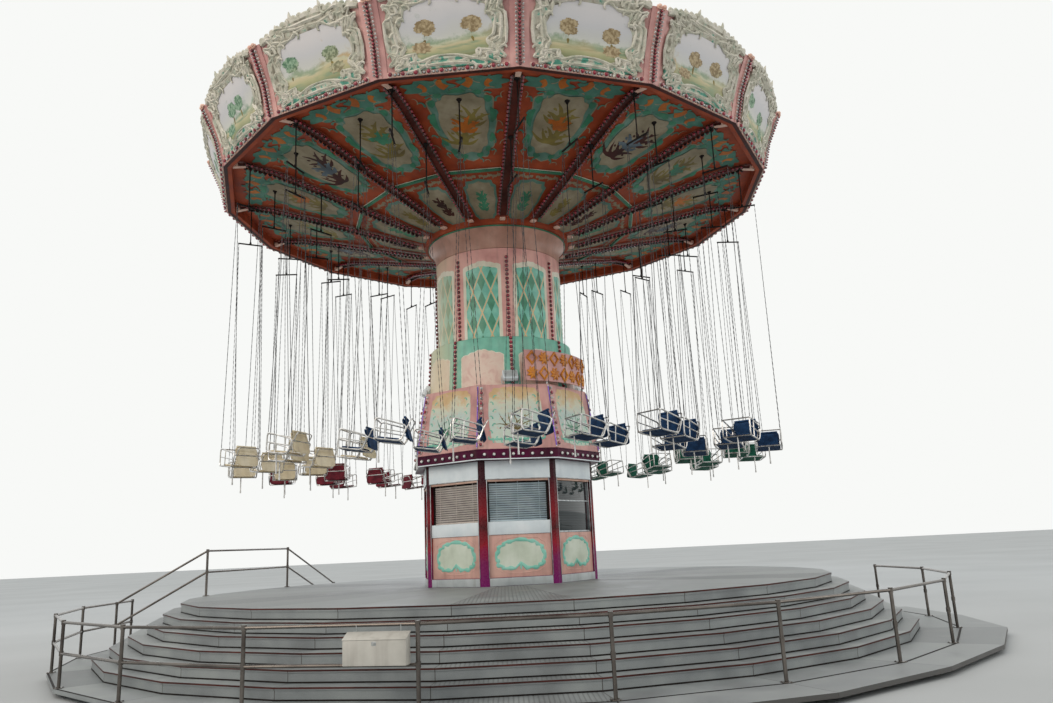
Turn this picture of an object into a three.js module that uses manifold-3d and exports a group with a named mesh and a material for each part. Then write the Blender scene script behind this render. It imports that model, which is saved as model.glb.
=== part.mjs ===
// Chair swing ride: a round stepped platform, a ticket booth under a flared skirt, a turning drum,
// a lifting column and a sixteen-sided crown with forty-eight hanging chairs.
// Millimetres, +Z up, origin on the ground at the ride's axis, the booth's middle window facing -Y.

import * as THREE from "three";
import { mergeVertices } from "three/addons/utils/BufferGeometryUtils.js";
import Module from "manifold-3d";

const wasm = await Module();
wasm.setup();

// Driving dimensions

const ROUND = 32; // sides of the round pieces
const GAP = 0.3; // between pieces that touch
const RUN = 10; // between bodies that move past each other

const SECTORS = 16; // ribs of the crown
const SECTOR = 360 / SECTORS;
const CROWN_TURN = -3.1; // azimuth of the first rib, as the crown stands
const RIM = { r: 6250, z: 9770 }; // lower edge of the fascia at the ribs
const FASCIA_TOP = { r: 6670, z: 10980 };
const FASCIA_WALL = 40;
const CREST = 200; // rise of the fascia's top edge between two ribs
const KINK = { r: 4220, z: 9530 }; // underside of a rib where its slope changes
const RIB = { wide: 120, outer: 6080, inner: 1720 };
const CEILING_THICK = 30;
const POST = 400; // radius of the crown's centre post

const HANG = { outer: 5720, middle: 5100, inner: KINK.r }; // radii of the hanging rods
const ROD_LONG = 900;
const SEAT_Z = 3660; // underside of every seat board
const CHAIR = { half: 260, front: 230, back: -190, rail: 330, post: 360 };
const LEAN = 8; // degrees each chair tips back in its chains
const HUNG = { x: 60, z: -50 }; // shift of a tipped chair that brings its weight under the rod
const SWAY = { mean: 10, span: 12, most: -80 }; // degrees the chairs are turned about their rods

const COLUMN = { r: 1450, top: 8320, bottom: 5750, wall: 30 };
const LAMP_ROOM = 70; // around the column, so that its rows of bulbs sink into the drum
const DRUM = { low: 1660, high: 1600, bottom: 5205, top: 6270, wall: 40 };
const MAST = { r: 550, bottom: 20, top: 6300, wall: 40 };
const RAM = { r: 60, bottom: 5900 };

const PLATFORM = { r: 6625, z: 1150, thick: 50 };
const TREADS = [6920, 7180, 7480, 7770, 8040]; // outer radii, from the platform down
const RISER = 170;
const DECK = { r: 8720, z: 130, thick: 60 };
const STAIR_SIDES = 24;
const APRON = [9560, 9510, 9340, 9350, 9440, 9290, 9300]; // outer corners, every 15 degrees
const PAD = 50; // height of the packing under the frame

const BOOTH = { r: 1940, wall: 80, top: 3614.7, plinth: 1310, head: 3250, sill: 2400 };
const CORNICE = { r: 2140, bottom: 3615, top: 3830 };
const SKIRT = { r: 1910, top: 5190, wall: 40 };
const SIGN = { r: 1900, thick: 25, from: 6.7, to: 67.3, bottom: 5252, top: 5905 };

const RAIL = { r: 8650, high: 950, mid: 500, tube: 45 };
const CABINET = { from: 250, to: 1050, deep: 150, bottom: 640, front: 935, back: 1010 };

// Plain geometry

const rad = (degrees) => (degrees * Math.PI) / 180;

// Azimuth counts from -Y towards +X, seen from the axis.
function at(r, azimuth, z = 0) {
  return new THREE.Vector3(r * Math.sin(rad(azimuth)), -r * Math.cos(rad(azimuth)), z);
}

function solid(geometry) {
  const plain = geometry.clone();
  plain.deleteAttribute("normal");
  plain.deleteAttribute("uv");
  const merged = mergeVertices(plain, 1e-3);
  return new wasm.Manifold(
    new wasm.Mesh({
      numProp: 3,
      vertProperties: merged.attributes.position.array,
      triVerts: new Uint32Array(merged.index.array),
    }),
  );
}

const join = (pieces) => pieces.reduce((all, piece) => all.add(piece));

function block(x0, x1, y0, y1, z0, z1) {
  const g = new THREE.BoxGeometry(x1 - x0, y1 - y0, z1 - z0);
  return g.translate((x0 + x1) / 2, (y0 + y1) / 2, (z0 + z1) / 2);
}

// A square bar from point a to point b.
function bar(a, b, wide, deep = wide) {
  const along = new THREE.Vector3().subVectors(b, a);
  const g = new THREE.BoxGeometry(along.length(), wide, deep);
  const x = along.clone().normalize();
  const up = Math.abs(x.z) > 0.99 ? new THREE.Vector3(1, 0, 0) : new THREE.Vector3(0, 0, 1);
  const y = new THREE.Vector3().crossVectors(up, x).normalize();
  const z = new THREE.Vector3().crossVectors(x, y);
  const frame = new THREE.Matrix4().makeBasis(x, y, z);
  frame.setPosition(new THREE.Vector3().addVectors(a, b).multiplyScalar(0.5));
  return g.applyMatrix4(frame);
}

// A three-sided rod from point a to point b.
function rod(a, b, thick) {
  const along = new THREE.Vector3().subVectors(b, a);
  const corner = (k) => new THREE.Vector2(Math.cos(rad(120 * k)), Math.sin(rad(120 * k)));
  const shape = new THREE.Shape([0, 1, 2].map((k) => corner(k).multiplyScalar(thick / 1.5)));
  const g = new THREE.ExtrudeGeometry(shape, { depth: along.length(), bevelEnabled: false });
  const turn = new THREE.Quaternion();
  turn.setFromUnitVectors(new THREE.Vector3(0, 0, 1), along.clone().normalize());
  return g.applyQuaternion(turn).translate(a.x, a.y, a.z);
}

// A closed profile of [radius, height] points turned about the axis, with its first corner at phase.
function turned(profile, sides, phase = 0) {
  const points = profile.concat([profile[0]]).map(([r, z]) => new THREE.Vector2(r, z));
  const g = new THREE.LatheGeometry(points, sides, rad(phase), 2 * Math.PI);
  return g.rotateX(Math.PI / 2);
}

// A flat outline of [x, y] points drawn up from z0 to z1.
function prism(outline, z0, z1) {
  const shape = new THREE.Shape(outline.map(([x, y]) => new THREE.Vector2(x, y)));
  const g = new THREE.ExtrudeGeometry(shape, { depth: z1 - z0, bevelEnabled: false });
  return g.translate(0, 0, z0);
}

// A flat outline of [radius, height] points, wide across, standing on azimuth 0.
function upright(outline, wide) {
  const shape = new THREE.Shape(outline.map(([r, z]) => new THREE.Vector2(r, z)));
  const g = new THREE.ExtrudeGeometry(shape, { depth: wide, bevelEnabled: false });
  return g.translate(0, 0, -wide / 2).rotateX(Math.PI / 2).rotateZ(-Math.PI / 2);
}

const turnTo = (geometry, azimuth) => geometry.clone().rotateZ(rad(azimuth));

// Materials

const paint = (color, metalness = 0) =>
  new THREE.MeshStandardMaterial({ color, metalness, roughness: 0.6 });

const group = new THREE.Group();
function add(name, made, material) {
  const m = made.getMesh();
  const g = new THREE.BufferGeometry();
  g.setAttribute("position", new THREE.BufferAttribute(new Float32Array(m.vertProperties), 3));
  g.setIndex(new THREE.BufferAttribute(new Uint32Array(m.triVerts), 1));
  g.computeVertexNormals();
  const mesh = new THREE.Mesh(g, material);
  mesh.name = name;
  group.add(mesh);
}

// Ground frame: a hub ring with its foot plate, and stepped radial beams on packing pads

function treadTop(i) {
  return PLATFORM.z - RISER * i;
}

function groundFrame() {
  const under = (i) => treadTop(i) - 40 - GAP;
  const inner = 900;
  const socket = (MAST.r + GAP) / Math.cos(rad(15));
  const outline = [
    [inner, PAD],
    [DECK.r - 40, PAD],
    [DECK.r - 40, DECK.z - DECK.thick - GAP],
    [TREADS[4] - 70, DECK.z - DECK.thick - GAP],
  ];
  for (let i = 5; i >= 1; i--) {
    outline.push([TREADS[i - 1] - 70, under(i)]);
    outline.push([(i > 1 ? TREADS[i - 2] : PLATFORM.r) - 70, under(i)]);
  }
  outline.push([PLATFORM.r - 70, PLATFORM.z - PLATFORM.thick - GAP]);
  outline.push([inner, PLATFORM.z - PLATFORM.thick - GAP]);
  const beam = upright(outline, 80);
  const foot = new THREE.CylinderGeometry(700, 700, MAST.bottom - GAP, 12);
  foot.rotateX(Math.PI / 2).translate(0, 0, (MAST.bottom - GAP) / 2);
  const pieces = [
    solid(turned([[socket, 0], [1000, 0], [1000, 1090], [socket, 1090]], 12)),
    solid(foot),
  ];
  for (let k = 0; k < 12; k++) {
    pieces.push(solid(turnTo(beam, 30 * k)));
    for (const r of [4000, 8450]) {
      const pad = block(-120, 120, -r - 120, -r + 120, 0, PAD + 20);
      pieces.push(solid(turnTo(pad, 30 * k)));
    }
  }
  return join(pieces);
}

// Decks and stairs

// A tread from the riser behind it out to its nosing, the riser reaching up under the tread above.
function treadRing(inner, outer, z, thick, above) {
  const back = inner - 40;
  return solid(
    turned(
      [
        [back, z - thick], [outer, z - thick], [outer, z], [back + 30, z],
        [back + 30, above - GAP], [back, above - GAP],
      ],
      STAIR_SIDES,
    ),
  );
}

function step(i) {
  const inner = i > 1 ? TREADS[i - 2] : PLATFORM.r;
  const above = treadTop(i - 1) - (i > 1 ? 40 : PLATFORM.thick);
  return treadRing(inner, TREADS[i - 1], treadTop(i), 40, above);
}

const lowerDeck = () => treadRing(TREADS[4], DECK.r, DECK.z, DECK.thick, treadTop(5) - 40);

function platformDeck() {
  const { r, z, thick } = PLATFORM;
  const hole = MAST.r + RUN;
  return solid(turned([[hole, z - thick], [r, z - thick], [r, z], [hole, z]], STAIR_SIDES));
}

function apron() {
  const outline = APRON.map((r, i) => at(r, 15 * i)).map((p) => [p.x, p.y]);
  for (let i = APRON.length - 1; i >= 0; i--) {
    const p = at(DECK.r + GAP, 15 * i);
    outline.push([p.x, p.y]);
  }
  const pieces = [solid(prism(outline, DECK.z - DECK.thick, DECK.z))];
  for (let i = 0; i < APRON.length; i++) {
    const inset = i === 0 ? 1.5 : i === APRON.length - 1 ? -1.5 : 0;
    const r = DECK.r + 350;
    const foot = block(-80, 80, -r - 80, -r + 80, 0, DECK.z - DECK.thick + 10);
    pieces.push(solid(turnTo(foot, 15 * i + inset)));
  }
  return join(pieces);
}

// Railings

// Posts at the given azimuths joined by rails at the given heights. A run that carries on
// from the run before it starts with a rail alone, close to that run's last post.
function railRun(azimuths, heights, follows) {
  const { r, high, tube } = RAIL;
  const floor = DECK.z;
  const clear = ((tube / 2 + 3 + GAP) / r) * (180 / Math.PI);
  const t = tube / 2;
  const post = block(-t, t, -r - t, -r + t, floor + GAP, floor + high + t);
  const posts = follows ? azimuths.slice(1) : azimuths;
  const pieces = posts.map((a) => solid(turnTo(post, a)));
  for (let i = 0; i + 1 < azimuths.length; i++) {
    const from = azimuths[i] + (follows && i === 0 ? clear : 0);
    for (const h of heights)
      pieces.push(solid(bar(at(r, from, floor + h), at(r, azimuths[i + 1], floor + h), 36)));
  }
  return join(pieces);
}

const TWO_RAILS = [RAIL.mid, RAIL.high];
const TOP_RAIL = [RAIL.high];

// The guard on the platform's edge at the left rear, with a sloping handrail down at each end.
function exitRail() {
  const { mid, high, tube } = RAIL;
  const top = PLATFORM.z;
  const posts = [at(6560, -98, top), at(6560, -128, top)];
  const feet = [at(8450, -98, DECK.z), at(8450, -150, DECK.z)];
  const lift = (p, h) => p.clone().setZ(p.z + h);
  const pieces = posts
    .concat(feet)
    .map((p) => solid(bar(lift(p, GAP), lift(p, high + tube / 2), tube)));
  for (const h of [mid, high]) {
    pieces.push(solid(bar(lift(posts[0], h), lift(posts[1], h), 36)));
    pieces.push(solid(bar(lift(posts[0], h), lift(feet[0], h), 36)));
    pieces.push(solid(bar(lift(posts[1], h), lift(feet[1], h), 36)));
  }
  return join(pieces);
}

// A cabinet with a sloping lid in front of the rails, held by two straps at the top rail.
function railBox() {
  const { from, to, deep, bottom, front, back } = CABINET;
  const face = RAIL.r * Math.cos(rad(7.5)) + 18 + GAP;
  const sides = [[face, bottom], [face + deep, bottom], [face + deep, front], [face, back]];
  const pieces = [upright(sides, to - from).translate((from + to) / 2, 0, 0)];
  for (const x of [from + 100, to - 140])
    pieces.push(block(x, x + 40, -face - 12, -face, back - 60, DECK.z + RAIL.high + 10));
  return join(pieces.map((g) => solid(turnTo(g, -22.5))));
}

// Ticket booth: an eight-sided frame, walls with windows inside it and blinds behind them

const EIGHTH = 45;
const HALF_FACE = BOOTH.r * Math.sin(rad(22.5));
const FACE_AT = BOOTH.r * Math.cos(rad(22.5));

function octagonTube(r, wall, z0, z1) {
  const c = wall / Math.cos(rad(22.5));
  return solid(turned([[r - c, z0], [r, z0], [r, z1], [r - c, z1]], 8, 22.5));
}

// Cuts an opening of the given half width through the faces named by their number from the front.
function cutFaces(tube, faces, half, z0, z1) {
  return faces.reduce(
    (left, k) =>
      left.subtract(solid(turnTo(block(-half, half, -FACE_AT - 200, -FACE_AT + 300, z0, z1), EIGHTH * k))),
    tube,
  );
}

const ALL_FACES = [0, 1, 2, 3, 4, 5, 6, 7];
const WINDOW_FACES = [0, 1, 2, 3, 5, 6, 7];
const FLOOR = PLATFORM.z + GAP;
const INSIDE = BOOTH.r - BOOTH.wall / Math.cos(rad(22.5)) - GAP;

function boothFrame() {
  const tube = octagonTube(BOOTH.r, BOOTH.wall, FLOOR, BOOTH.top);
  const half = HALF_FACE - 110;
  const open = cutFaces(tube, WINDOW_FACES, half, BOOTH.plinth, BOOTH.head + 250);
  return cutFaces(open, [4], half, FLOOR - 10, BOOTH.head + 250);
}

function boothWalls() {
  const tube = octagonTube(INSIDE, 35, FLOOR, BOOTH.top - 100);
  const cut = cutFaces(tube, WINDOW_FACES, HALF_FACE - 150, BOOTH.sill, BOOTH.head - 40);
  return cutFaces(cut, [4], HALF_FACE - 160, FLOOR - 10, BOOTH.head - 40);
}

function boothBlinds() {
  const r = INSIDE - 35 / Math.cos(rad(22.5)) - GAP;
  const tube = octagonTube(r, 20, BOOTH.sill - 60, BOOTH.head);
  return cutFaces(tube, [4], HALF_FACE - 160, BOOTH.sill - 80, BOOTH.head + 20);
}

function boothDoor() {
  const half = HALF_FACE - 160 - GAP;
  const front = FACE_AT - BOOTH.wall - 5;
  return solid(block(-half, half, front - 30, front, FLOOR + 5, BOOTH.head - 45));
}

function boothCeiling() {
  const r = INSIDE - 35 / Math.cos(rad(22.5)) - GAP;
  const hole = (MAST.r + RUN) / Math.cos(rad(22.5));
  return solid(turned([[hole, 3460], [r, 3460], [r, 3500], [hole, 3500]], 8, 22.5));
}

function cornice() {
  const { r, bottom, top } = CORNICE;
  return solid(turned([[1800, bottom], [r, bottom], [r, top], [1800, top]], 8, 22.5));
}

// Flared skirt, closed at its top by the ring that carries the drum
function skirt() {
  const z0 = CORNICE.top + GAP;
  const { r, top, wall } = SKIRT;
  const hole = (COLUMN.r + LAMP_ROOM) / Math.cos(rad(22.5));
  return solid(
    turned(
      [
        [CORNICE.r - 10 - wall, z0], [CORNICE.r - 10, z0], [r, top],
        [hole, top], [hole, top - 50], [r - wall, top - 50],
      ],
      8,
      22.5,
    ),
  );
}

function mast() {
  const { r, bottom, top, wall } = MAST;
  const hole = RAM.r / Math.cos(rad(180 / ROUND)) + GAP;
  return solid(
    turned(
      [
        [r - wall, bottom], [r, bottom], [r, top], [hole, top], [hole, top - 50],
        [r - wall, top - 50],
      ],
      ROUND,
    ),
  );
}

// Turning drum around the column, with the bearing track it turns on
function drum() {
  const track = SKIRT.top + GAP;
  const { low, high, bottom, top, wall } = DRUM;
  const hole = COLUMN.r + LAMP_ROOM;
  return solid(
    turned(
      [
        [hole, bottom], [1595, bottom], [1595, track], [1640, track], [1640, bottom],
        [low, bottom], [high, top], [hole, top], [hole, top - 50],
        [high - wall, top - 50], [low - wall, bottom + 50], [hole, bottom + 50],
      ],
      ROUND,
    ),
  );
}

// A curved board at the front right, on two posts that stand on the skirt's top corners
function signBoard() {
  const { r, thick, from, to, bottom, top } = SIGN;
  const steps = 10;
  const turns = Array.from({ length: steps + 1 }, (_, i) => from + ((to - from) * i) / steps);
  const front = turns.map((a) => at(r, a));
  const back = turns.map((a) => at(r - thick, a)).reverse();
  const outline = front.concat(back).map((p) => [p.x, p.y]);
  const behind = thick - r;
  const post = block(-20, 20, behind - 7, behind + 33, SKIRT.top + GAP, top - 60);
  const posts = [22.5, 66].map((a) => solid(turnTo(post, a)));
  return join([solid(prism(outline, bottom, top)), ...posts]);
}

// Lifting column: outer shell, head plate and the ram that slides in the mast's top plate
function column() {
  const { r, top, bottom, wall } = COLUMN;
  const core = RAM.r - 10;
  const shell = turned(
    [
      [r - wall, bottom], [r, bottom], [r, top], [core, top], [core, top - 60], [r - wall, top - 60],
    ],
    ROUND,
  );
  const ram = new THREE.CylinderGeometry(RAM.r, RAM.r, top - RAM.bottom, ROUND);
  ram.rotateX(Math.PI / 2).translate(0, 0, (top + RAM.bottom) / 2);
  return solid(shell).add(solid(ram));
}

// Crown

const HUB_BOTTOM = COLUMN.top + RUN;

// Cove under the crown, with the bearing ring it turns on
function hubFlare() {
  return solid(
    turned(
      [
        [200, HUB_BOTTOM], [1350, HUB_BOTTOM], [1350, COLUMN.top + GAP], [1420, COLUMN.top + GAP],
        [1420, HUB_BOTTOM], [1450, HUB_BOTTOM], [1480, 8560], [1610, 8755],
        [1610, 8800], [200, 8800],
      ],
      ROUND,
    ),
  );
}

// Post and plates that carry the ribs and the roof
function hubPost() {
  const z = 8800 + GAP;
  return solid(
    turned(
      [
        [200, z], [RIB.inner - GAP, z], [RIB.inner - GAP, z + 180], [600, z + 180],
        [POST, z + 400], [POST, 11900], [200, 11900],
      ],
      SECTORS,
      CROWN_TURN,
    ),
  );
}

// Underside and top of a rib, as [radius, height]
const RIB_LINE = [[RIB.inner, 8830], [KINK.r, KINK.z], [5200, 9790], [5750, 9865], [RIB.outer, 9810]];
const RIB_TOP = [[RIB.outer, 9955], [5200, 9885], [KINK.r, 9625], [RIB.inner, 8925]];
const RIM_INSIDE = RIB.outer + 12 + GAP; // clears the corners of the ribs' square ends

function ceiling() {
  const over = RIB_TOP.map(([r, z]) => [r, z + GAP]);
  over[0] = [RIM_INSIDE - GAP, over[0][1] + 1];
  const back = over.map(([r, z]) => [r, z + CEILING_THICK]).reverse();
  let shell = solid(turned(over.concat(back).reverse(), SECTORS, CROWN_TURN));
  for (let k = 0; k < SECTORS; k++) {
    const a = CROWN_TURN + SECTOR * k;
    const r = HANG.middle;
    const lug = block(-45, 45, -r - 45, -r + 45, 9700, 10100);
    const eye = block(-25, 25, -r - 25, -r + 25, 9700, 10100);
    shell = shell.subtract(solid(turnTo(lug, a)));
    shell = shell.subtract(solid(turnTo(eye, a + SECTOR / 2)));
  }
  return shell;
}

function rimBeam() {
  const outer = RIM.r - FASCIA_WALL - GAP;
  return solid(
    turned(
      [[RIM_INSIDE, RIM.z], [outer, RIM.z], [outer, 9990], [RIM_INSIDE, 9990]],
      SECTORS,
      CROWN_TURN,
    ),
  );
}

// Leaning fascia whose top edge rises in an arch between two ribs
function fascia() {
  const parts = 3;
  const sides = SECTORS * parts;
  const outer = [[RIM.r, RIM.z], [6390, 10350], [FASCIA_TOP.r, FASCIA_TOP.z]];
  const inner = outer.map(([r, z]) => [r - FASCIA_WALL, z]).reverse();
  const g = turned(outer.concat(inner), sides, CROWN_TURN);
  const p = g.attributes.position;
  for (let i = 0; i < p.count; i++) {
    const x = p.getX(i);
    const y = p.getY(i);
    const z = p.getZ(i);
    const a = (((Math.atan2(x, -y) * 180) / Math.PI - CROWN_TURN + 720) % SECTOR) / SECTOR;
    const flat = Math.cos(rad(SECTOR / 2)) / Math.cos(rad(SECTOR * (a - 0.5)));
    const rise = z > FASCIA_TOP.z - 1 ? CREST * Math.sin(Math.PI * a) : 0;
    p.setXYZ(i, x * flat, y * flat, z + rise);
  }
  return solid(g);
}

function roof() {
  const edge = FASCIA_TOP.r - FASCIA_WALL - 130;
  return solid(
    turned(
      [[POST + GAP, 11760], [edge, 10820], [edge, 10850], [POST + GAP, 11800]],
      SECTORS,
      CROWN_TURN,
    ),
  );
}

function roofCap() {
  return solid(
    turned(
      [[60, 11900 + GAP], [560, 11900 + GAP], [560, 11980], [380, 12180], [120, 12300], [60, 12310]],
      SECTORS,
      CROWN_TURN,
    ),
  );
}

// Swings

// A chair facing +X, its seat board's underside at height 0.
function chair() {
  const { half, front, back, rail } = CHAIR;
  const side = new THREE.Shape([
    new THREE.Vector2(front - 12, 5),
    new THREE.Vector2(front + 15, 5),
    new THREE.Vector2(front + 40, rail + 30),
    new THREE.Vector2(back - 80, rail - 60),
    new THREE.Vector2(back - 70, rail - 90),
    new THREE.Vector2(front + 10, rail - 2),
  ]);
  const plate = new THREE.ExtrudeGeometry(side, { depth: 28, bevelEnabled: false }).rotateX(Math.PI / 2);
  const v = (x, y, z) => new THREE.Vector3(x, y, z);
  const pieces = [
    plate.clone().translate(0, half + 14, 0),
    plate.clone().translate(0, -half + 14, 0),
    block(back - 8, front, -half - 2, half + 2, 0, 35),
    bar(v(back + 10, 0, 20), v(back - 130, 0, 400), 2 * half, 35),
    bar(v(front + 24, -half, rail), v(front + 24, half, rail), 24),
  ];
  return join(pieces.map(solid));
}

// A swing hung at height z: rod, spreader bar, four chains down to the side rails of a chair
// that tips back, and the foot post standing upright under the chair's front.
function swing(z) {
  const { half, front, back, rail, post } = CHAIR;
  const bottom = z - ROD_LONG;
  const v = (x, y, h) => new THREE.Vector3(x, y, h);
  const tip = new THREE.Matrix4().makeRotationY(rad(-LEAN));
  const tipped = (x, y, h) => v(x, y, h).applyMatrix4(tip).add(v(HUNG.x, 0, SEAT_Z + HUNG.z));
  const pieces = [
    rod(v(0, 0, bottom), v(0, 0, z), 20),
    block(-16, 16, -half - 15, half + 15, bottom - 16, bottom + 16),
  ];
  for (const y of [-half, half]) {
    pieces.push(rod(v(6, y, bottom), tipped(front - 30, y, rail + 5), 12));
    pieces.push(rod(v(-6, y, bottom), tipped(back - 40, y, rail - 65), 12));
  }
  const toe = tipped(front - 25, 0, 15);
  pieces.push(block(toe.x - 20, toe.x + 20, -20, 20, toe.z - post, toe.z));
  const seat = chair().rotate([0, -LEAN, 0]).translate([HUNG.x, 0, SEAT_Z + HUNG.z]);
  return join(pieces.map(solid)).add(seat);
}

const LONG_SWING = swing(9870);
const SHORT_SWING = swing(9540);

// How far a chair hanging at an azimuth is turned, seen from above.
const sway = (azimuth) => SWAY.mean + SWAY.span * Math.cos(rad(azimuth - SWAY.most));

// The rib at an azimuth with its outer and inner swings and the middle swing half a sector on.
function swingArm(azimuth) {
  const root = at(HANG.middle, 0, 10020);
  const mid = at(HANG.middle, SECTOR / 2, 10020);
  const pin = block(-12, 12, -HANG.middle - 12, -HANG.middle + 12, 9850, 10010);
  const rib = [
    upright(RIB_LINE.concat(RIB_TOP), RIB.wide),
    block(-40, 40, -HANG.middle - 40, -HANG.middle + 40, 9850, 10050),
    bar(root, mid, 60),
    turnTo(pin, SECTOR / 2),
  ];
  const hang = (hung, r, a) =>
    hung.rotate([0, 0, 180 + sway(azimuth + a)]).translate([0, -r, 0]).rotate([0, 0, a]);
  return join(rib.map(solid))
    .add(hang(LONG_SWING, HANG.outer, 0))
    .add(hang(SHORT_SWING, HANG.inner, 0))
    .add(hang(LONG_SWING, HANG.middle, SECTOR / 2))
    .rotate([0, 0, azimuth]);
}

// Assembly

const steel = paint("#9aa0a3", 0.6);
const plate = paint("#b9bcbb", 0.3);
const rose = paint("#d9a199");
const wine = paint("#6d1238");
const cream = paint("#e6dccb");
const mint = paint("#7fc8ae");
const dark = paint("#4a3a3c", 0.4);
const amber = paint("#d98a1e");

add("ground_frame", groundFrame(), dark);
add("lower_deck", lowerDeck(), plate);
add("apron", apron(), plate);
for (let i = 1; i <= TREADS.length; i++) add("step_" + i, step(i), plate);
add("platform_deck", platformDeck(), plate);
add("railing_left", railRun([-105, -90, -75, -60], TWO_RAILS, false), steel);
add("railing_front_left", railRun([-60, -45, -30, -15], TWO_RAILS, true), steel);
add("railing_front_right", railRun([-15, 0, 15, 30], TOP_RAIL, true), steel);
add("railing_right", railRun([30, 45, 60, 75, 90], TOP_RAIL, true), steel);
add("railing_exit", exitRail(), steel);
add("rail_box", railBox(), cream);
add("booth_frame", boothFrame(), wine);
add("booth_walls", boothWalls(), rose);
add("booth_blinds", boothBlinds(), plate);
add("booth_door", boothDoor(), rose);
add("booth_ceiling", boothCeiling(), plate);
add("cornice", cornice(), wine);
add("skirt", skirt(), rose);
add("mast", mast(), steel);
add("drum", drum(), mint);
add("sign_board", signBoard(), amber);
add("column", column(), rose);
add("hub_flare", hubFlare(), rose);
add("hub_post", hubPost(), steel);
add("ceiling", ceiling(), cream);
add("rim_beam", rimBeam(), dark);
add("fascia", fascia(), rose);
add("roof", roof(), cream);
add("roof_cap", roofCap(), rose);

for (let k = 0; k < SECTORS; k++) {
  const name = "swing_arm_" + String(k + 1).padStart(2, "0");
  add(name, swingArm(CROWN_TURN + SECTOR * k), rose);
}

export default group;
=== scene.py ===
# %% [markdown]
# # A chair swing ride
# A round stepped platform carries a ticket booth, a flared skirt, a turning drum and a lifting
# column. On the column turns a sixteen-sided crown with a carved fascia, a painted ceiling and
# forty-eight chairs on chains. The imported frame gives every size. This file adds the finish:
# paint, carving, bulbs, chains, chair frames, pads, blinds, railings and the roof sheet.

import math
import bmesh
import bpy
from mathutils import Matrix, Vector


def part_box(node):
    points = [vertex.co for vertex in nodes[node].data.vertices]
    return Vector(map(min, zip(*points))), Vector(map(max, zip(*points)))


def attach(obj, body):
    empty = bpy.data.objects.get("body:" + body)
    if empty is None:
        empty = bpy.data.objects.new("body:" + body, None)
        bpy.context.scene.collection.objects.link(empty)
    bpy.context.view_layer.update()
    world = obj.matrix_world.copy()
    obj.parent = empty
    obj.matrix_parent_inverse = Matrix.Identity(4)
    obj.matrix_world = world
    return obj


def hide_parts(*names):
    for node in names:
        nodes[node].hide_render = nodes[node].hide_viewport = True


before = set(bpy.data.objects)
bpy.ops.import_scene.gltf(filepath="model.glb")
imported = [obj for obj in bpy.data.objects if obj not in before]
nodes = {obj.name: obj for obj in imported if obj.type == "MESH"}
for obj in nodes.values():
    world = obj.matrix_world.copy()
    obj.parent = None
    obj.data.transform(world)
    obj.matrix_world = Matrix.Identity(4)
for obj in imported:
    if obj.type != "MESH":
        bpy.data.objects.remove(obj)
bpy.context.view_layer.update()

# %% [markdown]
# ## Driving sizes
# Most sizes come from the frame's boxes. The few below are the ride's own angles and the levels
# inside a node, which a box can't tell. Azimuths count in degrees from -Y towards +X.

# %% Sizes
SECTORS = 16
SECTOR = 360 / SECTORS
HALF = math.radians(SECTOR / 2)
CROWN_TURN = -3.1
EIGHTH = 45.0

PLATFORM_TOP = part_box("platform_deck")[1].z
PLATFORM_R = -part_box("platform_deck")[0].y
TREADS = [(-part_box(f"step_{i}")[0].y, PLATFORM_TOP - 0.17 * i) for i in range(1, 6)]
DECK_R = -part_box("lower_deck")[0].y
DECK_TOP = 0.13
COLUMN_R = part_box("column")[1].x
COLUMN_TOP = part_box("column")[1].z
COLUMN_LOW = 5.75
RAM_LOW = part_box("column")[0].z
DRUM_LOW, DRUM_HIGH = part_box("drum")[0].z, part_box("drum")[1].z
RIM_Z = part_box("fascia")[0].z
RIM_R = 6.25
FASCIA = [(RIM_R, RIM_Z), (6.39, 10.35), (6.67, 10.98)]
CEILING = [(1.72, 8.925), (4.22, 9.625), (5.20, 9.885), (6.08, 9.955)]
RIB_FOOT = [(1.72, 8.83), (4.22, 9.53), (5.20, 9.79), (5.75, 9.865), (6.08, 9.81)]
SEAT_Z = 3.66
ARMS = [f"swing_arm_{k + 1:02d}" for k in range(SECTORS)]
RIBS = [CROWN_TURN + SECTOR * k for k in range(SECTORS)]
BAYS = [a + SECTOR / 2 for a in RIBS]
FACE_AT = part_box("booth_frame")[1].y
FACE_HALF = FACE_AT * math.tan(math.radians(22.5))
print("platform", PLATFORM_TOP, "column", COLUMN_R, "booth face", round(FACE_AT, 4))

# %% [markdown]
# ## The camera
# The photograph was taken from the ground, about nineteen metres in front and a little to the
# left, with a wide lens tipped up. The camera comes first, so that every later look is judged
# from the same place.

# %% Camera
LENS = 28.33
EYE = Vector((-2.53, -18.56, 1.914))
YAW, PITCH, ROLL = 0.1672, 0.2293, -0.0456

ahead = Vector((math.sin(YAW) * math.cos(PITCH), math.cos(YAW) * math.cos(PITCH), math.sin(PITCH)))
level = Vector((math.cos(YAW), -math.sin(YAW), 0.0))
upward = level.cross(ahead)
right = level * math.cos(ROLL) + upward * math.sin(ROLL)
above = upward * math.cos(ROLL) - level * math.sin(ROLL)

lens = bpy.data.cameras.new("camera")
lens.lens = LENS
lens.sensor_width = 36.0
lens.clip_end = 400.0
camera = bpy.data.objects.new("camera", lens)
camera.matrix_world = Matrix.Translation(EYE) @ Matrix((right, above, -ahead)).transposed().to_4x4()
bpy.context.scene.collection.objects.link(camera)
bpy.context.scene.camera = camera

# %% [markdown]
# ## Helpers for nodes and colours
# Colours are written as sRGB hex, as a paint chart gives them, and turned to linear once. One
# function adds any node: its sockets take numbers, colours or the output of another node.

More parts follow.
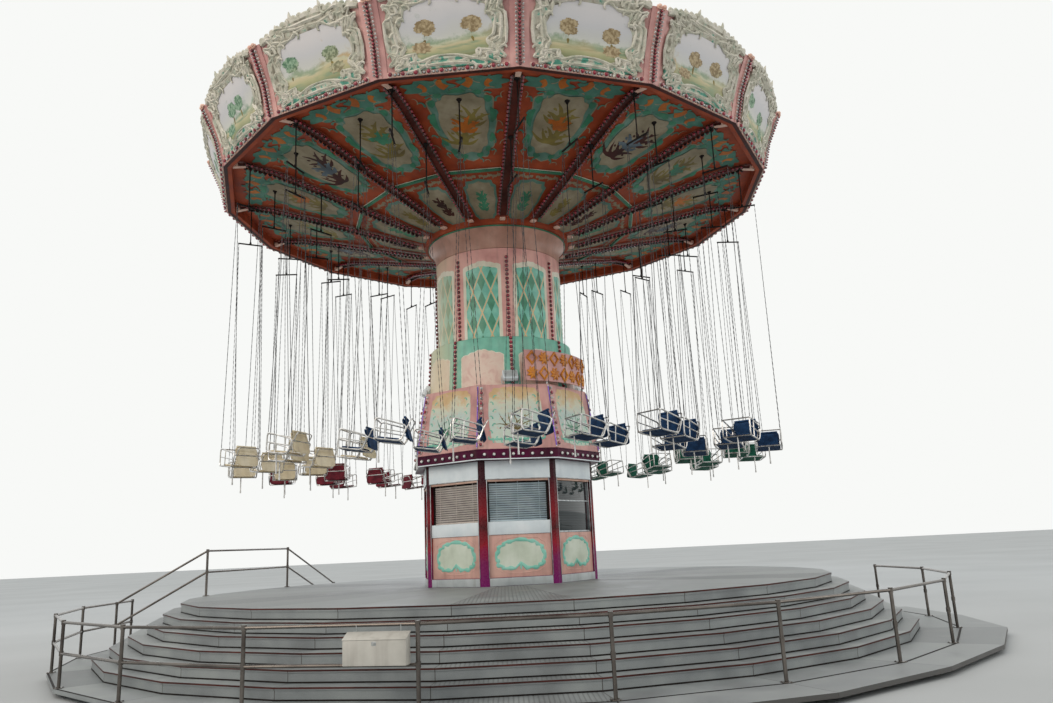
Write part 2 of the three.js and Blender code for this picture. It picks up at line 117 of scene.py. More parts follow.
# %% Colours and nodes
def linear(chart):
    """An sRGB hex colour as the linear RGBA that shaders want."""
    parts = [int(chart[i : i + 2], 16) / 255 for i in (1, 3, 5)]
    return (*[p / 12.92 if p <= 0.04045 else ((p + 0.055) / 1.055) ** 2.4 for p in parts], 1.0)


def per_mm(size):
    """The texture scale at which one feature of a pattern is that many millimetres wide."""
    return 1000.0 / size


def add(tree, kind, links=None, stops=None, **settings):
    """Adds a node. links maps sockets to values or outputs, and stops fills a colour ramp."""
    made = tree.nodes.new("ShaderNode" + kind)
    for name, value in settings.items():
        setattr(made, name, value)
    for socket, value in (links or {}).items():
        if isinstance(value, bpy.types.Node):
            value = value.outputs[0]
        if isinstance(value, bpy.types.NodeSocket):
            tree.links.new(value, made.inputs[socket])
        else:
            made.inputs[socket].default_value = value
    if stops:
        ramp = made.color_ramp
        while len(ramp.elements) < len(stops):
            ramp.elements.new(0.5)
        for element, (position, chart) in zip(ramp.elements, stops):
            element.position = position
            element.color = linear(chart)
    return made


def material(name, sockets):
    """A material whose Principled shader takes what sockets(tree) returns."""
    made = bpy.data.materials.new(name)
    made.use_nodes = True
    made.node_tree.nodes.clear()
    shader = add(made.node_tree, "BsdfPrincipled", sockets(made.node_tree))
    add(made.node_tree, "OutputMaterial", {"Surface": shader})
    return made


# %% [markdown]
# ## Paint
# Nearly everything on the ride is brushed or sprayed paint on plywood, sheet or cast resin. Such
# paint is never one colour: it fades in soft clouds, rain draws darker runs down it, and it has a
# fine orange peel. One recipe gives all three, and each paint names its own tones and sizes.

# %% Paint recipe
def painted(tones, rough=0.5, runs=0.3, coat=0.0, shine=0.5):
    """Sockets for weathered paint: three tones, dirt runs, an uneven gloss and a slight peel."""

    def sockets(tree):
        spot = add(tree, "TexCoord").outputs["Object"]
        cloud = add(tree, "TexNoise", {"Vector": spot, "Scale": per_mm(420), "Detail": 6.0})
        tone = add(tree, "ValToRGB", {"Fac": cloud}, stops=list(zip((0.32, 0.5, 0.68), tones)))
        drawn = add(tree, "Mapping", {"Vector": spot, "Scale": (1.0, 1.0, 0.1)})
        run = add(tree, "TexNoise", {"Vector": drawn, "Scale": per_mm(110), "Detail": 8.0})
        share = add(tree, "MapRange", {0: run, 1: 0.5, 2: 0.78, 3: 0.0, 4: runs})
        links = {0: share, 6: tone, 7: linear("#5A4A40")}
        colour = add(tree, "Mix", links, data_type="RGBA").outputs[2]
        gloss = add(tree, "MapRange", {0: cloud, 1: 0.3, 2: 0.7, 3: rough - 0.08, 4: rough + 0.12})
        peel = add(tree, "TexNoise", {"Vector": spot, "Scale": per_mm(14), "Detail": 3.0})
        bump = add(tree, "Bump", {"Height": peel, "Strength": 0.25, "Distance": 0.002})
        look = {"Base Color": colour, "Roughness": gloss, "Normal": bump}
        return look | {"Coat Weight": coat, "Specular IOR Level": shine}

    return sockets


# Dusty pink enamel on the fascia, skirt and column: chalky where the sun has reached it.
pink = material("pink_enamel", painted(("#B5827E", "#C9958F", "#D6A89F"), rough=0.42))
# Warm pink on the column and the cove, a shade deeper and glossier.
rose = material("rose_enamel", painted(("#CC8F87", "#DDA198", "#E8B5A8"), rough=0.35, coat=0.2))
cove = material("cove_enamel", painted(("#A2735F", "#B38370", "#C09380"), rough=0.4, coat=0.15))
# Terracotta distemper of the ceiling boards, matt, its tones darkened further as painted shade under the crown.
terracotta = material("terracotta_paint", painted(("#8A3419", "#A04322", "#B35433"), rough=0.6, shine=0.3))
# Salmon paint on the ribs' flanks.
salmon = material("salmon_paint", painted(("#8E3F2E", "#A55140", "#B66250"), rough=0.5))
cream = material("cream_paint", painted(("#D3CBB4", "#E4DDC9", "#EFE9D9"), rough=0.5))
turquoise = material("turquoise_paint", painted(("#5CA893", "#74BAA4", "#8DC8B4"), rough=0.5))
# Turquoise darkened into a shaded copy: painted shade for the ceiling under the crown.
shaded_turquoise = material("shaded_turquoise_paint", painted(("#386A5B", "#4A7D6D", "#60907F"), rough=0.6, shine=0.3))
leaf_green = material("leaf_green_paint", painted(("#1F5F47", "#2F7A5B", "#44906E"), rough=0.5))
ochre = material("ochre_paint", painted(("#9E5010", "#B6641C", "#C7782E"), shine=0.3))
umber = material("umber_paint", painted(("#5A4A22", "#7A6A2C", "#8F8040"), rough=0.6))
slate = material("slate_blue_paint", painted(("#3A4650", "#52626E", "#75868F"), rough=0.6))
# The same cream, mint and turquoise, darkened into shaded copies: painted shade for the ceiling under the crown.
shaded_cream = material("shaded_cream_paint", painted(("#82765E", "#968A72", "#A89C85"), rough=0.6, shine=0.3))
shaded_mint = material("shaded_mint_paint", painted(("#4E7568", "#618678", "#78998C"), rough=0.6, shine=0.3))
# Peach enamel and pale green distemper on the booth's lower panels.
peach = material("peach_enamel", painted(("#C5968A", "#D6A89B", "#E2B7A8"), rough=0.45))
pale_green = material("pale_green_paint", painted(("#BEC8B4", "#CED7C5", "#DCE3D4"), runs=0.12))
mint = material("mint_paint", painted(("#6FBCA8", "#86CCB9", "#9DD8C8"), runs=0.15))
blush = material("blush_paint", painted(("#D5A391", "#E3B9A6", "#EDCBB9"), rough=0.5))
amber = material("amber_enamel", painted(("#B0640C", "#C87A14", "#DA9026"), rough=0.4))
white_board = material("white_laminate", painted(("#D3DDE3", "#DFE8EC", "#EAF0F3"), rough=0.4, runs=0.06))
plinth_grey = material("plinth_grey_paint", painted(("#9FA6A8", "#B0B6B7", "#BFC5C5"), rough=0.5))
beige = material("beige_gelcoat", painted(("#BFAF8D", "#D1C3A3", "#DED3B8"), rough=0.35, coat=0.3))
box_grey = material("cabinet_paint", painted(("#A5A29A", "#B4B1A9", "#C1BEB6"), rough=0.4))
purple = material("purple_lacquer", painted(("#3A0622", "#4C0A2F", "#5E0F3C"), rough=0.35, shine=0.15))
soot = material("black_paint", painted(("#120F0D", "#1A1513", "#241E1C"), rough=0.7, runs=0.1, shine=0.2))
oxblood = material("oxblood_paint", painted(("#2E1411", "#401C18", "#532823"), shine=0.2))
rib_dark = material("rib_underside", painted(("#3E1712", "#52201A", "#662C24"), rough=0.55, shine=0.2))


def sun_bleached(sockets):
    """The same finish, bleached on the side that the low sun reaches, towards -X."""

    def bleached(tree):
        made = sockets(tree)
        part = add(tree, "SeparateXYZ", {"Vector": add(tree, "TexCoord").outputs["Object"]})
        share = add(tree, "MapRange", {0: part, 1: -1.0, 2: -1.5, 3: 0.0, 4: 0.75})
        links = {0: share, 6: made["Base Color"], 7: linear("#D9CDA9")}
        made["Base Color"] = add(tree, "Mix", links, data_type="RGBA").outputs[2]
        return made

    return bleached


# %% [markdown]
# ## Metals
# Galvanised steel has grey spangles and a soft gloss, and aluminium plate is paler. Metals keep
# the default index of refraction, and only their tone and roughness vary over the surface.

# %% Metal recipe
def bare_metal(tones, patch_mm, rough, metallic=1.0):
    """Sockets for bare metal: patches of two or three tones and an uneven roughness."""

    def sockets(tree):
        spot = add(tree, "TexCoord").outputs["Object"]
        patch = add(tree, "TexNoise", {"Vector": spot, "Scale": per_mm(patch_mm), "Detail": 4.0})
        tone = add(tree, "ValToRGB", {"Fac": patch}, stops=list(zip((0.35, 0.5, 0.65), tones)))
        gloss = add(tree, "MapRange", {0: patch, 1: 0.3, 2: 0.7, 3: rough - 0.08, 4: rough + 0.1})
        return {"Base Color": tone, "Roughness": gloss, "Metallic": metallic}

    return sockets


galvanised = material("galvanised_steel", bare_metal(("#8D8F8E", "#A9ABAA", "#C2C4C2"), 60, 0.38))
stainless = material("stainless_tube", bare_metal(("#5A5450", "#6A645F", "#7A746E"), 400, 0.25))
aluminium = material("aluminium_trim", bare_metal(("#A7ABAD", "#BFC3C5", "#D2D5D6"), 80, 0.35))
bright_tube = material("bright_steel_tube", bare_metal(("#B5B3B0", "#CFCDCA", "#E2E0DD"), 90, 0.3))
chain_steel = material("chain_steel", bare_metal(("#2B2B2C", "#3E3E3F", "#555556"), 20, 0.6, 0.5))
slat_warm = material("slat_warm_grey", bare_metal(("#CFC4BC", "#D8CDC5", "#E0D6CF"), 200, 0.45, 0.3))
slat_cool = material("slat_cool_grey", bare_metal(("#B4C6CE", "#C0D0D7", "#CBD9DF"), 200, 0.45, 0.3))


# %% [markdown]
# ## Glass bulbs
# The rows of lamps are moulded caps over small bulbs: dark red ones and clear ones, in pale
# collars. Solid glossy plastic with a slight change of tint from cap to cap reads as such a cap.

# %% Bulb caps
def moulded(tones, rough=0.15, coat=0.8, each_mm=60):
    """Sockets for glossy moulded plastic whose tint changes a little from piece to piece."""

    def sockets(tree):
        spot = add(tree, "TexCoord").outputs["Object"]
        cell = add(tree, "TexNoise", {"Vector": spot, "Scale": per_mm(each_mm), "Detail": 1.0})
        tone = add(tree, "ValToRGB", {"Fac": cell}, stops=list(zip((0.35, 0.65), tones)))
        return {"Base Color": tone, "Roughness": rough, "Coat Weight": coat, "Coat Roughness": 0.05}

    return sockets


red_cap = material("red_lamp_cap", moulded(("#5E0A1C", "#A01C36")))
clear_cap = material("clear_lamp_cap", moulded(("#C9CCCB", "#F2F2EE"), rough=0.1))
silver_cap = material("silver_lamp_cap", moulded(("#8F9091", "#D5D5D3"), rough=0.2))
collar = material("lamp_collar", moulded(("#B9A79C", "#D8CCC0"), rough=0.4, coat=0.2))
dark_collar = material("dark_lamp_collar", moulded(("#2B2422", "#4A3D39"), rough=0.4, coat=0.2))
violet_tube = material("violet_tube", moulded(("#6F3FC4", "#9A6BE6"), rough=0.2))


# %% [markdown]
# ## Floor plates
# The platform is laid in sheet-metal plates between the frame's beams, with a joint every fifteen
# degrees. Every plate has weathered a little differently, and every fourth bay has raised
# anti-slip ribs. The pattern is worked out from the angle round the axis, so that it meets the
# corners of the twenty-four-sided rings exactly. The real ribs are about 30 mm apart, and are
# drawn 60 mm apart so that they still show from the camera.

# %% Floor plate
BAY = math.radians(15.0)


def floor_plate(tones, rib_share, side_share):
    """Sockets for deck plates: bays of differing tone, dark joints, ribs, and darker edges."""

    def sockets(tree):
        spot = add(tree, "TexCoord").outputs["Object"]
        part = add(tree, "SeparateXYZ", {"Vector": spot})
        back = add(tree, "Math", {0: part.outputs[1], 1: -1.0}, operation="MULTIPLY")
        angle = add(tree, "Math", {0: part.outputs[0], 1: back}, operation="ARCTAN2")
        bay = add(tree, "Math", {0: angle, 1: BAY}, operation="DIVIDE")
        index = add(tree, "Math", {0: bay}, operation="FLOOR")
        level_spot = add(tree, "VectorMath", {0: spot, 1: (1.0, 1.0, 0.0)}, operation="MULTIPLY")
        length = add(tree, "VectorMath", {0: level_spot}, operation="LENGTH").outputs["Value"]
        within = add(tree, "Math", {0: bay}, operation="FRACT")
        middle = add(tree, "Math", {0: within, 1: 0.5}, operation="SUBTRACT")
        from_middle = add(tree, "Math", {0: middle}, operation="ABSOLUTE")
        to_joint = add(tree, "Math", {0: 0.5, 1: from_middle}, operation="SUBTRACT")
        metres = add(tree, "Math", {0: length, 1: BAY}, operation="MULTIPLY")
        gap = add(tree, "Math", {0: to_joint, 1: metres}, operation="MULTIPLY")
        joint = add(tree, "Math", {0: gap, 1: 0.005}, operation="LESS_THAN")
        seed = add(tree, "CombineXYZ", {0: index, 1: part.outputs[2]})
        lot = add(tree, "TexWhiteNoise", {"Vector": seed}, noise_dimensions="3D")
        cloud = add(tree, "TexNoise", {"Vector": spot, "Scale": per_mm(700), "Detail": 8.0})
        both = add(tree, "Math", {0: lot, 1: 0.25, 2: cloud}, operation="MULTIPLY_ADD")
        tone = add(tree, "ValToRGB", {"Fac": both}, stops=list(zip((0.4, 0.6, 0.85), tones)))
        fourth = add(tree, "Math", {0: index, 1: 4.0}, operation="FLOORED_MODULO")
        ribbed = add(tree, "Math", {0: fourth, 1: 2.5}, operation="GREATER_THAN")
        across = add(tree, "Math", {0: middle, 1: metres}, operation="MULTIPLY")
        phase = add(tree, "Math", {0: across, 1: 2 * math.pi / 0.06}, operation="MULTIPLY")
        wave = add(tree, "Math", {0: phase}, operation="SINE")
        up = add(tree, "SeparateXYZ", {"Vector": add(tree, "NewGeometry").outputs["Normal"]}).outputs[2]
        trodden = add(tree, "Math", {0: up, 1: ribbed}, operation="MULTIPLY")
        ribs = add(tree, "Math", {0: wave, 1: trodden}, operation="MULTIPLY")
        shade = add(tree, "MapRange", {0: ribs, 1: 0.2, 2: 1.0, 3: 0.0, 4: rib_share})
        marks = add(tree, "Math", {0: joint, 1: shade}, operation="MAXIMUM")
        side = add(tree, "MapRange", {0: up, 1: 0.0, 2: 0.5, 3: side_share, 4: 0.0})
        darker = add(tree, "Math", {0: marks, 1: side}, operation="MAXIMUM")
        links = {0: darker, 6: tone, 7: linear("#3A3632")}
        colour = add(tree, "Mix", links, data_type="RGBA").outputs[2]
        bump = add(tree, "Bump", {"Height": ribs, "Strength": 0.4, "Distance": 0.004})
        gloss = add(tree, "MapRange", {0: cloud, 1: 0.3, 2: 0.7, 3: 0.4, 4: 0.65})
        return {"Base Color": colour, "Roughness": gloss, "Normal": bump}

    return sockets


deck_plate = material("deck_plate", floor_plate(("#6F7374", "#808586", "#939897"), 0.4, 0.0))
# The apron is the same plate, darker on its faces that do not look upwards.
apron_plate = material("apron_plate", floor_plate(("#74787A", "#838788", "#939797"), 0.3, 0.85))


# %% [markdown]
# ## Helpers for meshes
# Every piece starts as a bmesh. Small parts are built once, stamped where they repeat, and poured
# into one mesh. Bars and scrolls are bevelled curves turned into mesh, which is how one would
# draw them by hand. A flat design is then wrapped onto the surface that carries it.

# %% Mesh helpers
def around(radius, azimuth, height=0.0):
    """A point at a radius from the ride's axis, at an azimuth and a height."""
    angle = math.radians(azimuth)
    return Vector((radius * math.sin(angle), -radius * math.cos(angle), height))


def turned(azimuth):
    """The turn about the axis that takes azimuth 0 to another azimuth."""
    return Matrix.Rotation(math.radians(azimuth), 4, "Z")


def facing(point, outward):
    """The placing that sets a part's foot on a point, with its Z along outward."""
    turn = Vector((0.0, 0.0, 1.0)).rotation_difference(outward)
    return Matrix.Translation(point) @ turn.to_matrix().to_4x4()


def stamp(bm, part, places=(Matrix(),), index=None):
    """Pours a copy of part into bm at each place, in one material slot if index is given."""
    if index is not None:
        for face in part.faces:
            face.material_index = index
    mesh = bpy.data.meshes.new("stamp")
    part.to_mesh(mesh)
    for place in places:
        copy = mesh.copy()
        copy.transform(place)
        bm.from_mesh(copy)
        bpy.data.meshes.remove(copy)
    bpy.data.meshes.remove(mesh)
    part.free()


def slab(low, high, soften=0.0):
    """A box between two corners, with its edges bevelled if soften is given."""
    part = bmesh.new()
    low, high = Vector(low), Vector(high)
    size = Matrix.Diagonal((*(high - low), 1.0))
    bmesh.ops.create_cube(part, size=1.0, matrix=Matrix.Translation((low + high) / 2) @ size)
    if soften:
        edges = part.edges[:]
        bmesh.ops.bevel(
            part, geom=edges, offset=soften, segments=2, profile=0.5, affect="EDGES", material=-1
        )
    return part


def spun(profile, steps, phase=0.0, closed=True):
    """A profile of (radius, height) points spun round the axis, its first corner at phase."""
    part = bmesh.new()
    points = [part.verts.new(around(r, phase, z)) for r, z in profile]
    edges = [part.edges.new(pair) for pair in zip(points, points[1:])]
    if closed:
        edges.append(part.edges.new((points[-1], points[0])))
    bmesh.ops.spin(
        part, geom=points + edges, cent=(0, 0, 0), axis=(0, 0, 1), angle=2 * math.pi,
        steps=steps, use_merge=True,
    )
    bmesh.ops.remove_doubles(part, verts=part.verts[:], dist=1e-5)
    return part


def tubes(lines, sides=6, closed=False):
    """Round bars along lines, each a list of (point, radius)."""
    data = bpy.data.curves.new("line", "CURVE")
    data.dimensions = "3D"
    data.bevel_depth = 1.0
    data.bevel_resolution = max(0, sides // 2 - 2)
    data.use_fill_caps = True
    for line in lines:
        spline = data.splines.new("POLY")
        spline.points.add(len(line) - 1)
        spline.use_cyclic_u = closed
        for target, (point, radius) in zip(spline.points, line):
            target.co = (*point, 1.0)
            target.radius = radius
    drawn = bpy.data.objects.new("line", data)
    mesh = bpy.data.meshes.new_from_object(drawn)
    part = bmesh.new()
    part.from_mesh(mesh)
    bpy.data.objects.remove(drawn)
    bpy.data.curves.remove(data)
    bpy.data.meshes.remove(mesh)
    return part


def even(points, radius):
    """A line of one thickness for tubes."""
    return [(Vector(p), radius) for p in points]


def rounded(corners, reach, steps=4, closed=False):
    """A path through corners, each rounded off within reach of the corner."""
    path = []
    corners = [Vector(c) for c in corners]
    for i, corner in enumerate(corners):
        if not closed and i in (0, len(corners) - 1):
            path.append(corner)
            continue
        back = corners[i - 1] - corner
        on = corners[(i + 1) % len(corners)] - corner
        start = corner + back.normalized() * min(reach, back.length * 0.45)
        end = corner + on.normalized() * min(reach, on.length * 0.45)
        for j in range(steps + 1):
            t = j / steps
            path.append(start.lerp(corner, t).lerp(corner.lerp(end, t), t))
    return path


def wrapped(part, place):
    """Sends every vertex of a flat design through place(x, y, lift)."""
    for vert in part.verts:
        vert.co = place(*vert.co)
    return part


def piece(name, bm, body, finishes, stands_for=(), sharp=35.0):
    """Closes a bmesh into a piece that rides on a body, and stands for nodes if any are named."""
    bmesh.ops.recalc_face_normals(bm, faces=bm.faces[:])
    mesh = bpy.data.meshes.new(name)
    bm.to_mesh(mesh)
    bm.free()
    for finish in finishes:
        mesh.materials.append(finish)
    mesh.shade_smooth()
    mesh.set_sharp_from_angle(angle=math.radians(sharp))
    made = bpy.data.objects.new(name, mesh)
    bpy.context.scene.collection.objects.link(made)
    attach(made, body)
    if stands_for:
        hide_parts(*stands_for)
    mesh.calc_loop_triangles()
    print(f"{name}: {len(mesh.loop_triangles)} triangles")
    return made


# %% [markdown]
# ## Helpers for ornament
# Fairground carving is built from a few strokes: plaques with scalloped outlines, leaves that
# swell and taper, and volutes that curl up tighter and tighter. Each is worked out by a rule, and
# the design of a panel is a list of them.

# %% Ornament helpers
def lobed(wide, high, power=2.6, lobes=0, depth=0.0, x=0.0, y=0.0):
    """The outline of a plaque: a rounded rectangle whose edge waves in and out."""

    def reach(angle):
        c, s = math.cos(angle), math.sin(angle)
        wave = 1.0 + depth * math.cos(lobes * angle)
        return (
            x + wide * math.copysign(abs(c) ** (2 / power), c) * wave,
            y + high * math.copysign(abs(s) ** (2 / power), s) * wave,
        )

    return reach


def plaque(outline, cells, lift, thick):
    """A closed flat plaque, with a UV map in metres, from a grid pressed into an outline."""
    part = bmesh.new()
    bmesh.ops.create_grid(part, x_segments=cells, y_segments=cells, size=1.0)
    middle = [(outline(0.0)[i] + outline(math.pi)[i]) / 2 for i in (0, 1)]
    for vert in part.verts:
        share = max(abs(vert.co.x), abs(vert.co.y))
        edge = outline(math.atan2(vert.co.y, vert.co.x))
        vert.co.x = middle[0] + (edge[0] - middle[0]) * share
        vert.co.y = middle[1] + (edge[1] - middle[1]) * share
        vert.co.z = lift + thick
    bmesh.ops.recalc_face_normals(part, faces=part.faces[:])
    bmesh.ops.solidify(part, geom=part.faces[:], thickness=thick)
    uv = part.loops.layers.uv.new("UVMap")
    for face in part.faces:
        for loop in face.loops:
            loop[uv].uv = loop.vert.co.xy
    return part


def leaf(root, tip, wide, bend=0.3, points=6):
    """A leaf stroke for tubes: it swells, tapers and bends to one side."""
    root, tip = Vector((*root, 0.0)), Vector((*tip, 0.0))
    along = tip - root
    side = Vector((-along.y, along.x, 0.0))
    line = []
    for i in range(points):
        t = i / (points - 1)
        spot = root + along * t + side * (bend * 0.5 * math.sin(math.pi * t))
        line.append((spot, wide * max(0.1, math.sin(math.pi * (0.12 + 0.83 * t)))))
    return line


def volute(root, size, heading, sweep, wide, points=9):
    """A scroll for tubes: it sets out along heading and curls up through sweep degrees."""
    spot = Vector((*root, 0.0))
    line = []
    for i in range(points):
        t = i / (points - 1)
        line.append((spot.copy(), wide * (1.0 - 0.65 * t)))
        heading += sweep / points * (0.4 + 1.2 * t)
        stride = size * (1.0 - 0.8 * t) * 1.9 / points
        spot += Vector((math.cos(math.radians(heading)), math.sin(math.radians(heading)), 0)) * stride
    return line


def mirrored(lines):
    """The same strokes and their mirror images across x = 0."""
    flipped = [[(Vector((-p.x, p.y, p.z)), r) for p, r in line] for line in lines]
    return lines + flipped


def strokes(lines, lift, flat=0.6, sides=6, closed=False):
    """Raised strokes: tubes pressed flatter and set at a lift above the panel."""
    part = tubes(lines, sides, closed)
    for vert in part.verts:
        vert.co.z = lift + vert.co.z * flat
    return part


def lamp(width, tall, steps=6):
    """A lamp cap on a collar, its foot at the origin: slot 0 is the collar, slot 1 the cap."""
    r = width / 2
    profile = [(0.0, 0.0), (r, 0.0), (r, tall * 0.25), (r * 0.74, tall * 0.3)]
    profile += [(r * 0.78, tall * 0.62), (r * 0.45, tall * 0.92), (0.0, tall)]
    part = spun(profile, steps, closed=False)
    for face in part.faces:
        face.material_index = 1 if face.calc_center_median().z > tall * 0.3 else 0
    return part


# %% [markdown]
# ## Floor and light
# The ride stands outdoors under an even evening sky. A pale floor, a pale world and two very
# large soft lights give the same shadowless light, a little stronger from the left.

# %% Stage
world = bpy.data.worlds.new("sky")
world.use_nodes = True
world.node_tree.nodes["Background"].inputs["Color"].default_value = linear("#F8F9F7")
world.node_tree.nodes["Background"].inputs["Strength"].default_value = 1.0
bpy.context.scene.world = world
bpy.context.scene.view_settings.view_transform = "Standard"


def ground_tone(tree):
    """A pale smooth floor with a barely visible cloudiness."""
    spot = add(tree, "TexCoord").outputs["Object"]
    cloud = add(tree, "TexNoise", {"Vector": spot, "Scale": per_mm(6000), "Detail": 3.0})
    tone = add(tree, "ValToRGB", {"Fac": cloud}, stops=[(0.3, "#A9ACAD"), (0.7, "#B4B7B8")])
    return {"Base Color": tone, "Roughness": 0.8}


ground = bmesh.new()
bmesh.ops.create_grid(ground, x_segments=1, y_segments=1, size=160.0)
ground_mesh = bpy.data.meshes.new("floor")
ground.to_mesh(ground_mesh)
ground.free()
ground_mesh.materials.append(material("studio_floor", ground_tone))
floor = bpy.data.objects.new("floor", ground_mesh)
bpy.context.scene.collection.objects.link(floor)


def soft_light(name, place, aim, size, watts, chart):
    """A large square light at a place, turned towards aim."""
    data = bpy.data.lights.new(name, "AREA")
    data.size = size
    data.energy = watts
    data.color = linear(chart)[:3]
    made = bpy.data.objects.new(name, data)
    made.location = place
    made.rotation_euler = (Vector(aim) - Vector(place)).to_track_quat("-Z", "Y").to_euler()
    bpy.context.scene.collection.objects.link(made)


soft_light("key", (-26, -22, 24), (0, 0, 6), 18, 3900, "#FFF1E2")
soft_light("fill", (30, -14, 16), (0, 0, 6), 20, 1500, "#F6F3EE")
soft_light("rear", (4, 34, 20), (0, 0, 7), 20, 1500, "#EEF3FF")


# %% [markdown]
# ## Decks and stairs
# The frame's rings already have the real shape, so they keep their meshes and take the plate
# finish. What they lack is the edge of each tread: a dark red-brown steel angle, worn by feet.
# It is one small profile, spun in twenty-four straight steps so that it follows the corners. A
# thin black strip at the foot of every riser is painted shadow, cast there by the tread above.

# %% Decks
for name in ("platform_deck", "lower_deck", "apron", *[f"step_{i}" for i in range(1, 6)]):
    nodes[name].data.materials.clear()
    nodes[name].data.materials.append(apron_plate if name == "apron" else deck_plate)
nodes["ground_frame"].data.materials.clear()
nodes["ground_frame"].data.materials.append(soot)


def nosing(radius, top, drop=0.02, stand=0.005):
    """The steel angle round the edge of one tread."""
    profile = [(radius + 0.0005, top - 0.003), (radius + stand, top - 0.003)]
    profile += [(radius + stand, top - 0.003 - drop), (radius + 0.0005, top - 0.003 - drop)]
    return spun(profile, 24)


edges = bmesh.new()
for radius, top in [(PLATFORM_R, PLATFORM_TOP), *TREADS]:
    stamp(edges, nosing(radius, top))
piece("tread_edges", edges, "base", [oxblood])

# A thin black ring at the foot of each riser: painted shadow under the nosing of the tread above.
joints = bmesh.new()
risers = [PLATFORM_R, *[radius for radius, _ in TREADS]]
for radius, floor_z in zip(risers, [top for _, top in TREADS] + [DECK_TOP]):
    shadow_strip = [(radius - 0.0095, floor_z + 0.0005), (radius - 0.005, floor_z + 0.0005)]
    shadow_strip += [(radius - 0.005, floor_z + 0.02), (radius - 0.0095, floor_z + 0.02)]
    stamp(joints, spun(shadow_strip, 24))
piece("riser_foot_shadow", joints, "base", [soot])

deck_edge = bmesh.new()
edge_strip = [(DECK_R - 0.035, DECK_TOP + 0.0005), (DECK_R - 0.001, DECK_TOP + 0.0005)]
edge_strip += [(DECK_R - 0.001, DECK_TOP + 0.004), (DECK_R - 0.035, DECK_TOP + 0.004)]
stamp(deck_edge, spun(edge_strip, 24))
piece("deck_edge", deck_edge, "base", [soot])

# %% [markdown]
# ## Railings
# Round steel posts with foot plates and cast joints carry one or two rails. The frame's square
# bars only mark the places, so each run is drawn again as tubes and stands for its node. Posts
# and rails come from the same azimuths and heights as in the frame.

# %% Railings
RAIL_R = 8.65
POST_TUBE, RAIL_TUBE = 0.026, 0.022
TOP_RAIL, MID_RAIL = 0.95, 0.50


def post(bm, foot, tall, joints):
    """A post on a foot plate with four bolts, a cap, and a cast joint at each rail."""
    top = foot + Vector((0, 0, tall))
    stamp(bm, tubes([even((foot + Vector((0, 0, 0.004)), top), POST_TUBE)], 10))
    stamp(bm, slab((-0.06, -0.06, 0.001), (0.06, 0.06, 0.011), 0.002), [Matrix.Translation(foot)])
    bolts = [Matrix.Translation(foot + Vector((x, y, 0.01))) for x in (-0.045, 0.045) for y in (-0.045, 0.045)]
    stamp(bm, spun([(0.0, 0.0), (0.009, 0.0), (0.009, 0.007), (0.0, 0.007)], 6, closed=False), bolts)
    cap = [(0.0, 0.0), (POST_TUBE + 0.003, 0.0), (POST_TUBE + 0.003, 0.012), (0.012, 0.02), (0.0, 0.021)]
    stamp(bm, spun(cap, 10, closed=False), [Matrix.Translation(top)])
    for h in joints:
        low, high = foot + Vector((0, 0, h - 0.035)), foot + Vector((0, 0, h + 0.035))
        stamp(bm, tubes([even((low, high), POST_TUBE + 0.007)], 10))


def rail_run(name, azimuths, heights, follows):
    """A run of posts joined by rails, drawn over one railing node."""
    bm = bmesh.new()
    for azimuth in azimuths[1:] if follows else azimuths:
        joints = heights if len(heights) > 1 else (MID_RAIL, TOP_RAIL)
        post(bm, around(RAIL_R, azimuth, DECK_TOP), TOP_RAIL + 0.006, joints)
    clear = math.degrees((POST_TUBE + 0.004) / RAIL_R)
    for i, (a, b) in enumerate(zip(azimuths, azimuths[1:])):
        start = a + clear if follows and i == 0 else a
        for h in heights:
            ends = (around(RAIL_R, start, DECK_TOP + h), around(RAIL_R, b, DECK_TOP + h))
            stamp(bm, tubes([even(ends, RAIL_TUBE)], 10))
    piece(name + "_tubes", bm, "base", [stainless], stands_for=[name])


rail_run("railing_left", (-105, -90, -75, -60), (MID_RAIL, TOP_RAIL), False)
rail_run("railing_front_left", (-60, -45, -30, -15), (MID_RAIL, TOP_RAIL), True)
rail_run("railing_front_right", (-15, 0, 15, 30), (TOP_RAIL,), True)
rail_run("railing_right", (30, 45, 60, 75, 90), (TOP_RAIL,), True)

guard = bmesh.new()
guard_posts = [around(6.56, a, PLATFORM_TOP) for a in (-98, -128)]
guard_feet = [around(8.45, a, DECK_TOP) for a in (-98, -150)]
for foot in guard_posts + guard_feet:
    post(guard, foot, TOP_RAIL + 0.006, (MID_RAIL, TOP_RAIL))
for h in (MID_RAIL, TOP_RAIL):
    rise = Vector((0, 0, h))
    path = [guard_feet[0], *guard_posts, guard_feet[1]]
    stamp(guard, tubes([even([p + rise for p in path], RAIL_TUBE)], 10))
piece("railing_exit_tubes", guard, "base", [stainless], stands_for=["railing_exit"])

# %% [markdown]
# ## The cabinet on the railing
# A beige sheet-metal cabinet hangs outside the front rails on two rods. It is a softened box
# under an overhanging lid. Both are sheared, so that the lid slopes up to the back.

